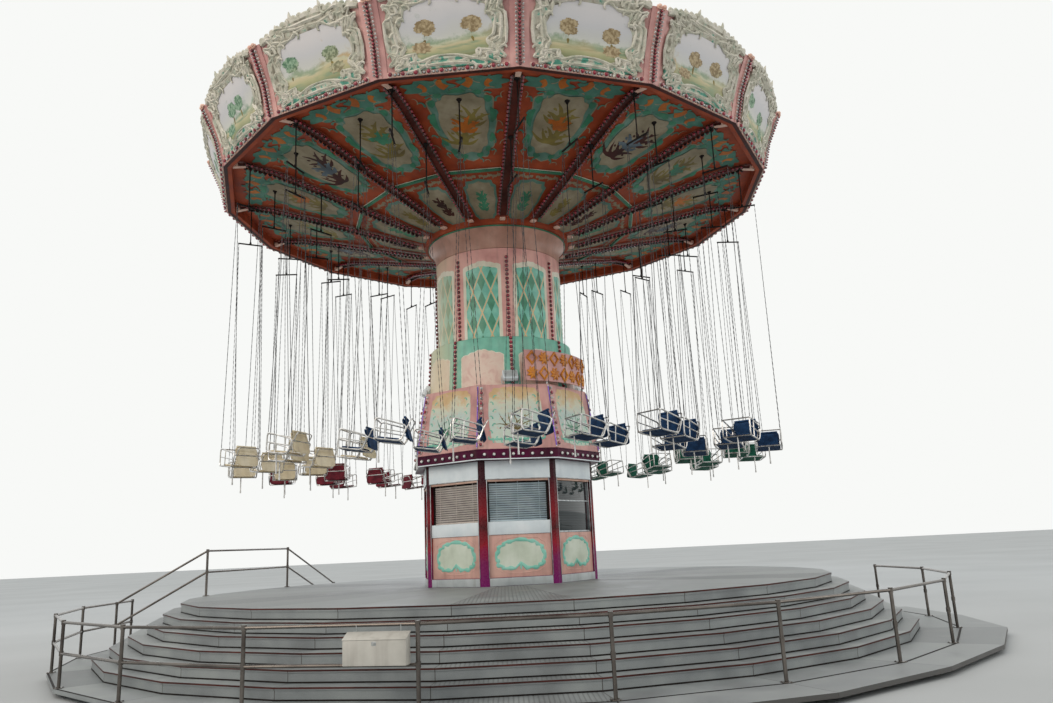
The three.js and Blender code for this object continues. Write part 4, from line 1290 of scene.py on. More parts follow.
COLUMN_ARC = math.radians(EIGHTH) * COLUMN_R
column_paint = bmesh.new()
for k in range(8):
    place = [turned(EIGHTH * (k + 0.5))]
    edge = scallop_top(COLUMN_ARC * 0.385, 6.0, 7.93, 0.11)
    stamp(column_paint, wrapped(plaque(edge, 18, 0.001, 0.003), on_column), place, 0)
    field = scallop_top(COLUMN_ARC * 0.32, 6.03, 7.84, 0.08)
    stamp(column_paint, wrapped(plaque(field, 18, 0.003, 0.003), on_column), place, 1)
piece("column_panels", column_paint, "column", [cream, lozenges])
column_heights = [6.33 + 0.0985 * i for i in range(19)]
lamp_rows("column", "column_row", on_column, column_heights, 0.084, 0.04, 0.005)

# %% [markdown]
# ## Cove
# Above the column the hub flares out in a brownish pink cove, closed by a green line where the
# ribs begin.

# %% Cove
flare = bmesh.new()
HUB_LOW = COLUMN_TOP + 0.010
curve = [(1.45, HUB_LOW), (1.455, 8.42), (1.47, 8.53), (1.50, 8.62), (1.55, 8.70), (1.60, 8.75), (1.61, 8.765), (1.61, 8.80)]
under = [(0.2, 8.80), (0.2, HUB_LOW), (1.35, HUB_LOW), (1.35, COLUMN_TOP + 0.0003), (1.42, COLUMN_TOP + 0.0003), (1.42, HUB_LOW)]
stamp(flare, spun(under + curve, FINE), index=0)
stamp(flare, spun([(1.611, 8.768), (1.625, 8.768), (1.625, 8.80), (1.611, 8.80)], FINE), index=1)
piece("cove", flare, "crown", [cove, leaf_green], stands_for=["hub_flare"])

# %% [markdown]
# ## Ceiling
# The ceiling boards hang between the ribs in two fields, parted by a green bar: a long outer one
# and a short inner one. Both carry a cream cartouche in a mint band with dark green leaves. The
# outer one has turquoise clouds with orange patches at its wide end. The boards are flat designs
# wrapped onto the sloping ceiling, and each layer of paint stands a few millimetres below the
# one before it.

# %% Ceiling
def line_height(line, radius):
    """The height of a line of (radius, height) points at a radius, straight beyond its ends."""
    for (r0, z0), (r1, z1) in zip(line, line[1:]):
        if radius <= r1 or (r1, z1) == line[-1]:
            return z0 + (z1 - z0) * (radius - r0) / (r1 - r0)


CEILING_SCALE = 5.2


def on_ceiling(x, y, lift):
    """A point under the ceiling: y is the distance from the axis, x across as at 5.2 m."""
    height = line_height(CEILING, y / math.cos(HALF))
    return Vector((x * y / CEILING_SCALE, -y, height - lift))


def border_leaves(outline, count, size, wide):
    """Leaves that follow one another round an outline."""
    lines = []
    for i in range(count):
        a, b = 2 * math.pi * i / count, 2 * math.pi * (i + size) / count
        lines.append(leaf(outline(a), outline(b), wide, -0.35, 5))
    return lines


def outer_strokes():
    """The strokes of an outer field: dark green leaves, turquoise curls and pale outlines."""
    green = border_leaves(lobed(0.59, 0.83, 3.0, y=4.48), 13, 0.6, 0.075)
    curls = []
    for i in range(5):
        curls.append(volute((0.14 + 0.15 * i, 5.70 - 0.02 * i), 0.24, 200 - 30 * (i % 2), 240 if i % 2 else -240, 0.034, 8))
    for i in range(9):
        angle = math.radians(-80 + 17 * i)
        x, y = lobed(0.72, 0.96, 2.8, y=4.50)(angle)
        curls.append(volute((x, y), 0.17, math.degrees(angle) + 80, 220 if i % 2 else -220, 0.026, 7))
    pale = []
    for i in range(7):
        angle = math.radians(-75 + 24 * i)
        x, y = lobed(0.84, 1.06, 3.0, y=4.52)(angle)
        pale.append(volute((x, y), 0.20, math.degrees(angle) + 100, 170 if i % 2 else -170, 0.013, 7))
    return green, mirrored(curls), mirrored(pale)


def orange_patches():
    """Curled orange patches at the wide end of an outer field."""
    large = volute((0.16, 5.47), 0.26, 35, 170, 0.085, 7)
    small = volute((0.60, 5.60), 0.22, 215, 190, 0.06, 7)
    return mirrored([large, small])


def motif(k):
    """A garland or a bunch of flowers in the middle of an outer field, in two colours."""
    if k % 2:
        return spray(-0.14, 3.98, 0.62, 13, 0.04) + spray(0.14, 4.45, 0.55, 11, 0.04), spray(0.0, 4.3, 0.45, 9, 0.05)
    return spray(0.0, 4.0, 0.60, 13, 0.045) + spray(0.0, 4.5, 0.55, 11, 0.05), spray(0.05, 4.4, 0.36, 8, 0.055)


ceiling_paint = bmesh.new()
for k in range(SECTORS):
    place = [turned(BAYS[k])]
    layers = [
        (lobed(0.69, 0.95, 2.8, 12, 0.045, y=4.46), 0.002, 0, 14),
        (lobed(0.66, 0.92, 2.8, 12, 0.05, y=4.46), 0.005, 1, 14),
        (lobed(0.51, 0.77, 3.0, 10, 0.05, y=4.49), 0.020, 0, 14),
    ]
    for side in (-1, 1):
        layers.append((lobed(0.42, 0.21, 2.2, 7, 0.16, x=side * 0.46, y=5.51), 0.011, 2, 10))
    for outline, lift, index, cells in layers:
        stamp(ceiling_paint, wrapped(plaque(outline, cells, lift, 0.003), on_ceiling), place, index)
    green, curls, pale = outer_strokes()
    stamp(ceiling_paint, wrapped(strokes(green, 0.015, 0.08, 4), on_ceiling), place, 3)
    stamp(ceiling_paint, wrapped(strokes(curls, 0.014, 0.1, 4), on_ceiling), place, 2)
    stamp(ceiling_paint, wrapped(strokes(pale, 0.017, 0.15, 4), on_ceiling), place, 0)
    stamp(ceiling_paint, wrapped(strokes(orange_patches(), 0.018, 0.07, 4), on_ceiling), place, 4)
    for lines, lift, index in zip(motif(k), (0.023, 0.026), ((5, 4), (7, 6), (5, 3))[k % 3]):
        stamp(ceiling_paint, wrapped(strokes(lines, lift, 0.08, 4), on_ceiling), place, index)
finishes = [shaded_cream, shaded_mint, shaded_turquoise, leaf_green, ochre, umber, slate, oxblood]
piece("ceiling_outer_paint", ceiling_paint, "crown", finishes)

inner_paint = bmesh.new()
for k in range(SECTORS):
    place = [turned(BAYS[k])]
    for outline, lift, index in (
        (lobed(0.70, 0.68, 3.2, 12, 0.04, y=2.26), 0.002, 0),
        (lobed(0.60, 0.59, 3.0, 12, 0.05, y=2.27), 0.005, 1),
    ):
        stamp(inner_paint, wrapped(plaque(outline, 10, lift, 0.003), on_ceiling), place, index)
    sprig = spray(0.0, 2.0, 0.42, 11, 0.05) + spray(0.0, 2.3, 0.36, 9, 0.05)
    stamp(inner_paint, wrapped(strokes(sprig, 0.010, 0.08, 4), on_ceiling), place, 2 + k % 3)
    band = [volute((0.06 + 0.17 * i, 3.02), 0.22, 30 - 60 * (i % 2), 230 if i % 2 else -230, 0.04, 7) for i in range(5)]
    stamp(inner_paint, wrapped(strokes(mirrored(band), 0.004, 0.12, 4), on_ceiling), place, 1)
piece("ceiling_inner_paint", inner_paint, "crown", [shaded_mint, shaded_cream, leaf_green, umber, oxblood])

RING_R = 3.28
ring_bar = bmesh.new()
bar_up = line_height(CEILING, RING_R)
bar_at = RING_R * math.cos(HALF)
bar_half = RING_R * math.sin(HALF) - 0.07
for azimuth in BAYS:
    stamp(ring_bar, slab((-bar_half, -bar_at - 0.03, bar_up - 0.055), (bar_half, -bar_at + 0.03, bar_up - 0.008), 0.006), [turned(azimuth)], 0)
    stamp(ring_bar, slab((-bar_half, -bar_at - 0.045, bar_up - 0.012), (bar_half, -bar_at + 0.045, bar_up - 0.004), 0), [turned(azimuth)], 1)
piece("ceiling_ring", ring_bar, "crown", [leaf_green, cream])

nodes["ceiling"].data.materials.clear()
nodes["ceiling"].data.materials.append(terracotta)
nodes["rim_beam"].data.materials.clear()
nodes["rim_beam"].data.materials.append(terracotta)
nodes["hub_post"].data.materials.clear()
nodes["hub_post"].data.materials.append(terracotta)

# %% [markdown]
# ## Ribs
# Sixteen ribs carry the ceiling and the swings. Each is a salmon box beam on a wider dark plate,
# with a row of red lamps along both edges of the plate and a pale cap at either end. One rib is
# built on azimuth 0 and stamped sixteen times.

# %% Ribs
def strip(line, half, low, high, cells=18):
    """A bar that follows the ribs' underside: low and high count from that line."""
    part = bmesh.new()
    bmesh.ops.create_grid(part, x_segments=1, y_segments=cells, size=0.5)
    r0, r1 = line[0][0], line[-1][0]
    for vert in part.verts:
        radius = r0 + (r1 - r0) * (vert.co.y + 0.5)
        vert.co = Vector((vert.co.x * 2 * half, -radius, line_height(line, radius) + high))
    bmesh.ops.recalc_face_normals(part, faces=part.faces[:])
    bmesh.ops.solidify(part, geom=part.faces[:], thickness=high - low)
    return part


BEAM_FOOT = [(1.74, 8.85), (4.22, 9.545), (5.20, 9.80), (5.75, 9.872), (6.06, 9.85)]
PLATE = [(1.90, 8.88), (4.22, 9.53), (5.20, 9.787), (5.75, 9.862), (5.98, 9.85)]
rib = bmesh.new()
stamp(rib, strip(BEAM_FOOT, 0.058, 0.0, 0.075), index=0)
stamp(rib, strip(PLATE, 0.074, -0.008, 0.010), index=1)
stamp(rib, slab((-0.062, -6.075, 9.812), (0.062, -5.97, 9.89), 0.02), index=2)
stamp(rib, strip([(5.80, 9.848), (6.06, 9.79)], 0.05, -0.012, 0.0, 6), index=2)
stamp(rib, slab((-0.062, -1.86, 8.84), (0.062, -1.735, 8.89), 0.02), index=2)
for x in (-0.058, 0.058):
    for y0, y1 in ((4.24, 5.95), (1.95, 4.20)):
        line = [(Vector((x, -r, line_height(BEAM_FOOT, r) + 0.035)), 0.006) for r in (y0, (y0 + y1) / 2, y1)]
        stamp(rib, tubes([line], 4), index=2)
mesh = bpy.data.meshes.new("rib")
rib.to_mesh(mesh)
rib.free()
ribs = bmesh.new()
one = bmesh.new()
one.from_mesh(mesh)
stamp(ribs, one, [turned(a) for a in RIBS])
piece("ribs", ribs, "crown", [salmon, rib_dark, blush], stands_for=ARMS)

rib_lamps = bmesh.new()
row = bmesh.new()
spots = []
for side in (-1, 1):
    for i in range(39):
        radius = 2.0 + 0.1 * i
        point = Vector((side * 0.074, -radius, line_height(PLATE, radius) + 0.001))
        spots.append(facing(point, Vector((side, 0, -0.25)).normalized()))
stamp(row, lamp(0.085, 0.06, 6), spots)
stamp(rib_lamps, row, [turned(a) for a in RIBS])
piece("rib_lamps", rib_lamps, "crown", [dark_collar, red_cap])

# %% [markdown]
# ## Fascia
# The fascia leans outwards in sixteen flat panels. Each has a pale painted landscape in a deep
# frame of cast scrolls and leaves, whose top edge breaks the skyline. The carving is drawn as
# strokes round the painting and wrapped onto the leaning panel. The frame's fascia stays behind
# it as the pink ground.

# %% Fascia
def fascia_radius(z):
    """The fascia's radius at a rib, at a height."""
    for (r0, z0), (r1, z1) in zip(FASCIA, FASCIA[1:]):
        if z <= z1 or (r1, z1) == FASCIA[-1]:
            return r0 + (r1 - r0) * (z - z0) / (z1 - z0)


EDGE_HALF = RIM_R * math.sin(HALF)
PANEL_HIGH = FASCIA[-1][1] - RIM_Z


def on_fascia(x, y, lift):
    """A point of a fascia panel: y counts up from the lower edge, x as wide as there."""
    z = RIM_Z + y
    radius = fascia_radius(z)
    slope = (fascia_radius(z + 0.01) - radius) / 0.01
    tilt = math.atan(slope)
    across = x * radius / RIM_R
    return Vector((across, -(radius * math.cos(HALF) + lift * math.cos(tilt)), z - lift * math.sin(tilt)))


def landscape(tree):
    """A soft generic landscape: hazy sky, streaky meadow, and distant grey-green foliage."""
    spot = add(tree, "TexCoord").outputs["Object"]
    height = add(tree, "SeparateXYZ", {"Vector": add(tree, "UVMap").outputs[0]}).outputs[1]
    roll = add(tree, "TexNoise", {"Vector": spot, "Scale": per_mm(900), "Detail": 3.0})
    ground_line = add(tree, "Math", {0: roll, 1: -0.4, 2: height}, operation="MULTIPLY_ADD")
    level_share = add(tree, "MapRange", {0: ground_line, 1: 0.05, 2: 0.85, 3: 0.0, 4: 1.0})
    stops = [(0.0, "#7A7F58"), (0.14, "#A3A277"), (0.24, "#BDB08A"), (0.32, "#B9BA9E")]
    stops += [(0.40, "#C3C3BA"), (0.7, "#C3C2C4"), (1.0, "#CFCBCB")]
    tone = add(tree, "ValToRGB", {"Fac": level_share}, stops=stops)
    long = add(tree, "Mapping", {"Vector": spot, "Scale": (1.0, 1.0, 6.0)})
    streak = add(tree, "TexNoise", {"Vector": long, "Scale": per_mm(420), "Detail": 5.0})
    grass = add(tree, "MapRange", {0: level_share, 1: 0.36, 2: 0.30, 3: 0.0, 4: 0.75})
    streaks = add(tree, "MapRange", {0: streak, 1: 0.48, 2: 0.62, 3: 0.0, 4: grass})
    hue = add(tree, "TexNoise", {"Vector": spot, "Scale": per_mm(1500), "Detail": 1.0})
    leaves = add(tree, "ValToRGB", {"Fac": hue}, stops=[(0.46, "#5C8062"), (0.56, "#7F9272"), (0.64, "#B0905F")])
    meadow = add(tree, "Mix", {0: streaks, 6: tone, 7: leaves}, data_type="RGBA").outputs[2]
    clump = add(tree, "TexNoise", {"Vector": spot, "Scale": per_mm(300), "Detail": 9.0, "Roughness": 0.7})
    stops = [(0.26, "#000000"), (0.36, "#FFFFFF"), (0.46, "#8A8A8A"), (0.6, "#000000")]
    belt = add(tree, "ValToRGB", {"Fac": level_share}, stops=stops)
    strength = add(tree, "Math", {0: belt, 1: 0.25, 2: clump}, operation="MULTIPLY_ADD")
    mask = add(tree, "MapRange", {0: strength, 1: 0.6, 2: 0.78, 3: 0.0, 4: 0.8})
    colour = add(tree, "Mix", {0: mask, 6: meadow, 7: leaves}, data_type="RGBA").outputs[2]
    return {"Base Color": colour, "Roughness": 0.5}


def foliage(tree):
    """Dabbed foliage: greens of two depths, browner from panel to panel."""
    spot = add(tree, "TexCoord").outputs["Object"]
    dab = add(tree, "TexNoise", {"Vector": spot, "Scale": per_mm(55), "Detail": 5.0})
    hue = add(tree, "TexNoise", {"Vector": spot, "Scale": per_mm(2500), "Detail": 0.0})
    dark = add(tree, "ValToRGB", {"Fac": hue}, stops=[(0.5, "#4C7257"), (0.62, "#84704E")])
    pale = add(tree, "ValToRGB", {"Fac": hue}, stops=[(0.5, "#93AE92"), (0.62, "#B5A27F")])
    share = add(tree, "MapRange", {0: dab, 1: 0.42, 2: 0.6, 3: 0.0, 4: 1.0})
    colour = add(tree, "Mix", {0: share, 6: dark, 7: pale}, data_type="RGBA").outputs[2]
    return {"Base Color": colour, "Roughness": 0.6}


def cast_scrolls(tree):
    """Cast resin painted cream, with grey-green tones and small dark dabs scattered at random: grime, and painted shade
    for its hollows and corners.
    """
    spot = add(tree, "TexCoord").outputs["Object"]
    cloud = add(tree, "TexNoise", {"Vector": spot, "Scale": per_mm(180), "Detail": 6.0})
    stops = [(0.3, "#A3A794"), (0.42, "#B9B6A5"), (0.55, "#CCC7B8"), (0.75, "#D6CEC3")]
    tone = add(tree, "ValToRGB", {"Fac": cloud}, stops=stops)
    fine = add(tree, "TexNoise", {"Vector": spot, "Scale": per_mm(30), "Detail": 5.0})
    grime_and_shade = add(tree, "MapRange", {0: fine, 1: 0.55, 2: 0.75, 3: 0.0, 4: 0.55})
    colour = add(tree, "Mix", {0: grime_and_shade, 6: tone, 7: linear("#6E6A58")}, data_type="RGBA").outputs[2]
    bump = add(tree, "Bump", {"Height": fine, "Strength": 0.5, "Distance": 0.006})
    return {"Base Color": colour, "Roughness": 0.45, "Normal": bump}


def carved_ground(tree):
    """The lumpy ground of the carving: grey cream with darker patches, painted shade of its hollows, and sea green
    pools along its foot.
    """
    spot = add(tree, "TexCoord").outputs["Object"]
    height = add(tree, "SeparateXYZ", {"Vector": spot}).outputs[2]
    cloud = add(tree, "TexNoise", {"Vector": spot, "Scale": per_mm(140), "Detail": 3.0})
    low_share = add(tree, "MapRange", {0: height, 1: 9.88, 2: 10.15, 3: 0.2, 4: 0.0})
    pooled = add(tree, "Math", {0: cloud, 1: low_share}, operation="ADD")
    stops = [(0.38, "#7A7566"), (0.5, "#B5AF9E"), (0.64, "#AEB3A2"), (0.7, "#4E917D"), (0.85, "#387B67")]
    tone = add(tree, "ValToRGB", {"Fac": pooled}, stops=stops)
    lumps = add(tree, "TexVoronoi", {"Vector": spot, "Scale": per_mm(90)})
    bump = add(tree, "Bump", {"Height": lumps, "Strength": 0.8, "Distance": 0.02})
    return {"Base Color": tone, "Roughness": 0.6, "Normal": bump}


canvas = material("landscape_paint", landscape)
leafage = material("dabbed_foliage", foliage)
cast = material("cast_scrollwork", cast_scrolls)
hollow = material("carved_ground", carved_ground)


def arched(outline, rise):
    """The same outline, its upper half bent up into a low arch."""

    def reach(angle):
        x, y = outline(angle)
        return x, y + rise * max(0.0, math.sin(angle)) * math.cos(math.pi * x / 2.5)

    return reach


PICTURE = arched(lobed(0.74, 0.39, 3.6, 10, 0.045, y=0.65), 0.12)
CARVING = arched(lobed(0.975, 0.565, 6.5, 14, 0.02, y=0.64), 0.19)


def relief(low, tall):
    """The carved band itself: a ring between the picture and the outer edge, raised in lumps."""
    profile = [(1.0, 0.0), (1.02, 0.5), (1.2, 1.0), (1.35, 0.55), (1.6, 0.9), (1.8, 0.6), (1.95, 0.9), (2.0, 0.0)]
    part = spun(profile, 132)
    for vert in part.verts:
        angle = math.atan2(vert.co.y, vert.co.x)
        share = vert.co.xy.length - 1.0
        a, b = Vector(PICTURE(angle)), Vector(CARVING(angle))
        wave = math.sin(19 * angle + 5 * share) * math.cos(11 * angle - 9 * share)
        flat = a.lerp(b, share + 0.09 * math.sin(math.pi * share) * wave)
        lift = low + tall * vert.co.z * (0.75 + 0.45 * wave)
        vert.co = Vector((flat.x, flat.y, lift))
    return part


def frame_rails():
    """Three wavy rails that run round the band."""
    rails = []
    for share, waves in ((0.12, 9), (0.5, 11), (0.86, 14)):
        rail = []
        for i in range(144):
            angle = 2 * math.pi * i / 144
            reach = share + 0.2 * math.sin(waves * angle + 2 * share)
            spot = Vector(PICTURE(angle)).lerp(Vector(CARVING(angle)), reach)
            rail.append((Vector((*spot, 0.0)), 0.024 * (1.0 + 0.4 * math.cos(2 * waves * angle))))
        rails.append(rail)
    return rails


def frame_scrolls():
    """Flat C-scrolls that chase one another between the rails, for one half."""
    lines = []
    for share, count in ((0.28, 10), (0.72, 11)):
        for i in range(count):
            angle = math.radians(-84 + 168 * i / (count - 1))
            spot = Vector(PICTURE(angle)).lerp(Vector(CARVING(angle)), share)
            turn = 1 if i % 2 else -1
            lines.append(volute(spot, 0.16, math.degrees(angle) + 90 + 18 * turn, 220 * turn, 0.03, 7))
    return lines


def crest_height(x):
    """The height of the arched skyline at a place across a panel."""
    return PANEL_HIGH - 0.02 + 0.20 * math.cos(math.pi * x / 2.4)


def crest_strokes():
    """The bumpy skyline: a thick rolled line, low petals on it, and two pairs of horns."""
    roll = []
    for i in range(73):
        x = -1.04 + 2.08 * i / 72
        bump = abs(math.sin(9 * math.pi * (x + 1.04) / 2.08))
        roll.append((Vector((x, crest_height(x) + 0.015 * bump, 0.0)), 0.042 + 0.018 * bump))
    petals = []
    for i in range(8):
        x = 0.06 + 0.125 * i
        petals.append(leaf((x, crest_height(x) + 0.03), (x + 0.12, crest_height(x + 0.12) + 0.035), 0.04, 0.5, 5))
    for x, tall in ((0.25, 0.17), (0.60, 0.11)):
        petals.append(leaf((x - 0.04, crest_height(x)), (x + 0.05, crest_height(x) + tall), 0.046, -0.6, 6))
    return [roll] + mirrored(petals)


bays = [turned(a) for a in BAYS]


def tree_strokes(x, tall, lean):
    """The trunk and boughs of one painted tree."""
    foot, fork = (x, 0.48), (x + lean, 0.48 + tall)
    boughs = [leaf(foot, fork, 0.026, 0.1, 5)]
    for side in (-1, 1):
        boughs.append(leaf(fork, (fork[0] + 0.09 * side, fork[1] + 0.12), 0.014, 0.2 * side, 4))
    return boughs


pictures = bmesh.new()
for k, place in enumerate(bays):
    trees = [(-0.38 + 0.2 * math.sin(2.1 * k), 0.18, 0.02), (0.3 + 0.16 * math.sin(1.3 * k + 1), 0.12 + 0.06 * (k % 2), -0.03)]
    for x, tall, lean in trees:
        trunk = strokes(tree_strokes(x, tall, lean), 0.036, 0.1, 4)
        stamp(pictures, wrapped(trunk, on_fascia), [place], 0)
        for i in range(7):
            angle = 51.0 * i + 40 * k
            reach = 0.095 if i else 0.0
            at_x = x + lean + reach * math.cos(math.radians(angle))
            at_y = 0.57 + tall + 0.7 * reach * math.sin(math.radians(angle))
            crown = plaque(lobed(0.088, 0.062, 2.0, 9, 0.12, x=at_x, y=at_y), 6, 0.035, 0.002 + 0.0005 * i)
            stamp(pictures, wrapped(crown, on_fascia), [place], 1)
    bush = plaque(lobed(0.16, 0.09, 2.4, 9, 0.14, x=0.42 * (-1) ** k, y=0.44), 8, 0.035, 0.003)
    stamp(pictures, wrapped(bush, on_fascia), [place], 1)
piece("fascia_trees", pictures, "crown", [umber, leafage])
paintings = bmesh.new()
stamp(paintings, wrapped(plaque(arched(lobed(0.80, 0.42, 4.0, y=0.66), 0.13), 12, 0.002, 0.033), on_fascia), bays, 0)
piece("fascia_landscapes", paintings, "crown", [canvas])
backing = bmesh.new()
stamp(backing, wrapped(plaque(CARVING, 16, 0.002, 0.028), on_fascia), bays)
piece("fascia_carved_ground", backing, "crown", [hollow])
carving = bmesh.new()
stamp(carving, wrapped(relief(0.026, 0.030), on_fascia), bays, 1)
stamp(carving, wrapped(strokes(frame_rails(), 0.046, 0.8, 4, True), on_fascia), bays, 0)
stamp(carving, wrapped(strokes(mirrored(frame_scrolls()), 0.050, 0.8, 4), on_fascia), bays, 0)
piece("fascia_scrolls", carving, "crown", [cast, hollow])
crest = bmesh.new()
stamp(crest, wrapped(strokes(crest_strokes(), 0.0, 0.9, 6), on_fascia), bays)
piece("fascia_crest", crest, "crown", [cast])
nodes["fascia"].data.materials.clear()
nodes["fascia"].data.materials.append(pink)

# %% [markdown]
# Between the panels stand flared pilasters, and up each runs a close row of red caps between two
# rows of silvery ones. A pale band with red caps and small clear ones follows the lower edge.

# %% Pilasters and rim lamps
def rib_face(side, y, lift):
    """A point beside a fascia corner at azimuth 0: side in metres, lift outwards."""
    z = RIM_Z + y
    radius = fascia_radius(z)
    slope = (fascia_radius(z + 0.01) - radius) / 0.01
    tilt = math.atan(slope)
    inset = abs(side) * math.tan(HALF)
    return Vector((side, -(radius - inset + lift * math.cos(tilt)), z - lift * math.sin(tilt)))


def pilaster(x0, x1, lift, thick, cells=8):
    """An upright strip on a fascia corner, from the lower edge to just over its top."""
    part = bmesh.new()
    bmesh.ops.create_grid(part, x_segments=4, y_segments=cells, size=0.5)
    for vert in part.verts:
        side = x0 + (x1 - x0) * (vert.co.x + 0.5)
        vert.co = Vector((side, (vert.co.y + 0.5) * (PANEL_HIGH + 0.05), lift + thick))
    bmesh.ops.recalc_face_normals(part, faces=part.faces[:])
    bmesh.ops.solidify(part, geom=part.faces[:], thickness=thick)
    return wrapped(part, rib_face)


corners = [turned(a) for a in RIBS]
posts = bmesh.new()
stamp(posts, pilaster(-0.17, 0.17, 0.001, 0.014), corners, 0)
stamp(posts, pilaster(-0.075, 0.075, 0.015, 0.015), corners, 0)
stamp(posts, lamp(0.11, 0.07, 8), [c @ facing(rib_face(x, PANEL_HIGH + 0.04, 0.02), Vector((0, -1, 0.3)).normalized()) for c in corners for x in (-0.05, 0.05)], 1)
piece("pilasters", posts, "crown", [pink, blush])


def rib_row(side, count, first):
    """Lamp places up one side of a pilaster, starting first steps above its foot."""
    spots = []
    for i in range(count):
        point = rib_face(side, 0.04 + (PANEL_HIGH - 0.06) * (i + first) / 19, 0.029)
        spots.append(facing(point, Vector((side * 6, -1.0, -0.25)).normalized()))
    return spots


reds, silvers = bmesh.new(), bmesh.new()
stamp(reds, lamp(0.064, 0.055, 6), [c @ spot for c in corners for spot in rib_row(0.0, 20, 0.0)])
piece("pilaster_red_lamps", reds, "crown", [dark_collar, red_cap])
both_sides = rib_row(-0.056, 19, 0.5) + rib_row(0.056, 19, 0.5)
stamp(silvers, lamp(0.048, 0.04, 6), [c @ spot for c in corners for spot in both_sides])
piece("pilaster_silver_lamps", silvers, "crown", [collar, silver_cap])

band = bmesh.new()
low_strip = bmesh.new()
bmesh.ops.create_grid(low_strip, x_segments=2, y_segments=1, size=0.5)
for vert in low_strip.verts:
    vert.co = Vector((vert.co.x * 2 * (EDGE_HALF - 0.13), 0.005 + (vert.co.y + 0.5) * 0.085, 0.014))
bmesh.ops.recalc_face_normals(low_strip, faces=low_strip.faces[:])
bmesh.ops.solidify(low_strip, geom=low_strip.faces[:], thickness=0.013)
stamp(band, wrapped(low_strip, on_fascia), bays)
# A thin oxblood ring under the rim's lower edge is painted shadow: the dark line along the rim's underside.
under = [(RIM_R, RIM_Z - 0.004), (RIM_R, RIM_Z - 0.0005), (RIM_R - 0.075, RIM_Z - 0.0005), (RIM_R - 0.075, RIM_Z - 0.004)]
stamp(band, spun(under, SECTORS, CROWN_TURN), index=1)
piece("rim_band", band, "crown", [blush, oxblood])
tilt_out = Vector((0, -1, -0.24)).normalized()
red_band = [facing(on_fascia(0.222 * (i - 4.5), 0.045, 0.014), tilt_out) for i in range(10)]
clear_band = [facing(on_fascia(0.222 * (i - 4) + side, 0.045, 0.014), tilt_out) for i in range(9) for side in (-0.03, 0.03)]
rim_red, rim_clear = bmesh.new(), bmesh.new()
stamp(rim_red, lamp(0.10, 0.07, 8), [b @ s for b in bays for s in red_band])
piece("rim_red_lamps", rim_red, "crown", [collar, red_cap])
stamp(rim_clear, lamp(0.056, 0.038, 6), [b @ s for b in bays for s in clear_band])
piece("rim_clear_lamps", rim_clear, "crown", [dark_collar, silver_cap])

# %% [markdown]
# ## Roof
# Nobody sees the roof from the ground. It is a sheet of coated fabric in sixteen gores, sagging a
# little between its seams, under a small painted cap. The gores are a grid pulled onto the cone,
# with ridge tapes over the seams.

# %% Roof
ROOF = [(0.42, 11.80), (6.50, 10.85)]


def tarpaulin(tree):
    """Coated fabric: off-white, dusty in soft clouds, with a faint weave."""
    spot = add(tree, "TexCoord").outputs["Object"]
    cloud = add(tree, "TexNoise", {"Vector": spot, "Scale": per_mm(900), "Detail": 7.0})
    stops = [(0.3, "#BDB8A8"), (0.5, "#D8D4C6"), (0.7, "#E4E1D5")]
    tone = add(tree, "ValToRGB", {"Fac": cloud}, stops=stops)
    weave = add(tree, "TexNoise", {"Vector": spot, "Scale": per_mm(25), "Detail": 2.0})
    bump = add(tree, "Bump", {"Height": weave, "Strength": 0.2, "Distance": 0.002})
    return {"Base Color": tone, "Roughness": 0.45, "Normal": bump}


sheet = material("coated_fabric", tarpaulin)
gore = bmesh.new()
bmesh.ops.create_grid(gore, x_segments=6, y_segments=8, size=0.5)
for vert in gore.verts:
    side, t = vert.co.x * 2, vert.co.y + 0.5
    radius = ROOF[0][0] + (ROOF[1][0] - ROOF[0][0]) * t
    sag = 0.05 * math.sin(math.pi * t) * (1 - side * side)
    height = ROOF[0][1] + (ROOF[1][1] - ROOF[0][1]) * t - sag
    vert.co = Vector((side * radius * math.sin(HALF), -radius * math.cos(HALF), height))
bmesh.ops.recalc_face_normals(gore, faces=gore.faces[:])
bmesh.ops.solidify(gore, geom=gore.faces[:], thickness=0.006)
roof = bmesh.new()
stamp(roof, gore, bays, 0)
seam = [(around(r, 0, z + 0.006), 0.018) for r, z in ((0.45, 11.795), (3.4, 11.334), (6.48, 10.853))]
stamp(roof, tubes([seam], 6), corners, 1)
piece("roof_sheet", roof, "crown", [sheet, blush], stands_for=["roof"])

cap = bmesh.new()
CAP_LOW, CAP_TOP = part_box("roof_cap")[0].z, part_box("roof_cap")[1].z
cap_profile = [(0.06, CAP_LOW), (0.54, CAP_LOW), (0.56, CAP_LOW + 0.02), (0.56, 11.98), (0.50, 12.02)]
cap_profile += [(0.40, 12.12), (0.30, 12.20), (0.17, 12.24), (0.11, 12.27), (0.06, CAP_TOP)]
stamp(cap, spun(cap_profile, 48), index=0)
stamp(cap, spun([(0.561, 11.93), (0.575, 11.93), (0.575, 11.955), (0.561, 11.955)], 48), index=1)
piece("roof_cap_paint", cap, "crown", [pink, cream], stands_for=["roof_cap"])

# %% [markdown]
# ## Swings
# Every chair hangs from a black rod with a rosette at its head and a spreader bar at its foot.
# From the bar's ends two pairs of chains run down to the chair's side rails. One swing of each
# length is drawn in its own place, then stamped at every hanging point. A chain is a row of flat
# links, each turned a quarter from the one before it. The real links are about 35 mm long and are
# drawn 60 mm long, which still reads as chain.

# %% Swings
ROD_LONG = 0.90
HALF_SEAT = 0.26
LEAN = 8.0
HANGERS = {"outer": (5.72, 0.0, 9.87), "inner": (4.22, 0.0, 9.54), "middle": (5.10, SECTOR / 2, 9.87)}


def sway(azimuth):
    """How far a chair hanging at an azimuth is turned about its rod, in degrees."""
    return 10 + 12 * math.cos(math.radians(azimuth + 80))


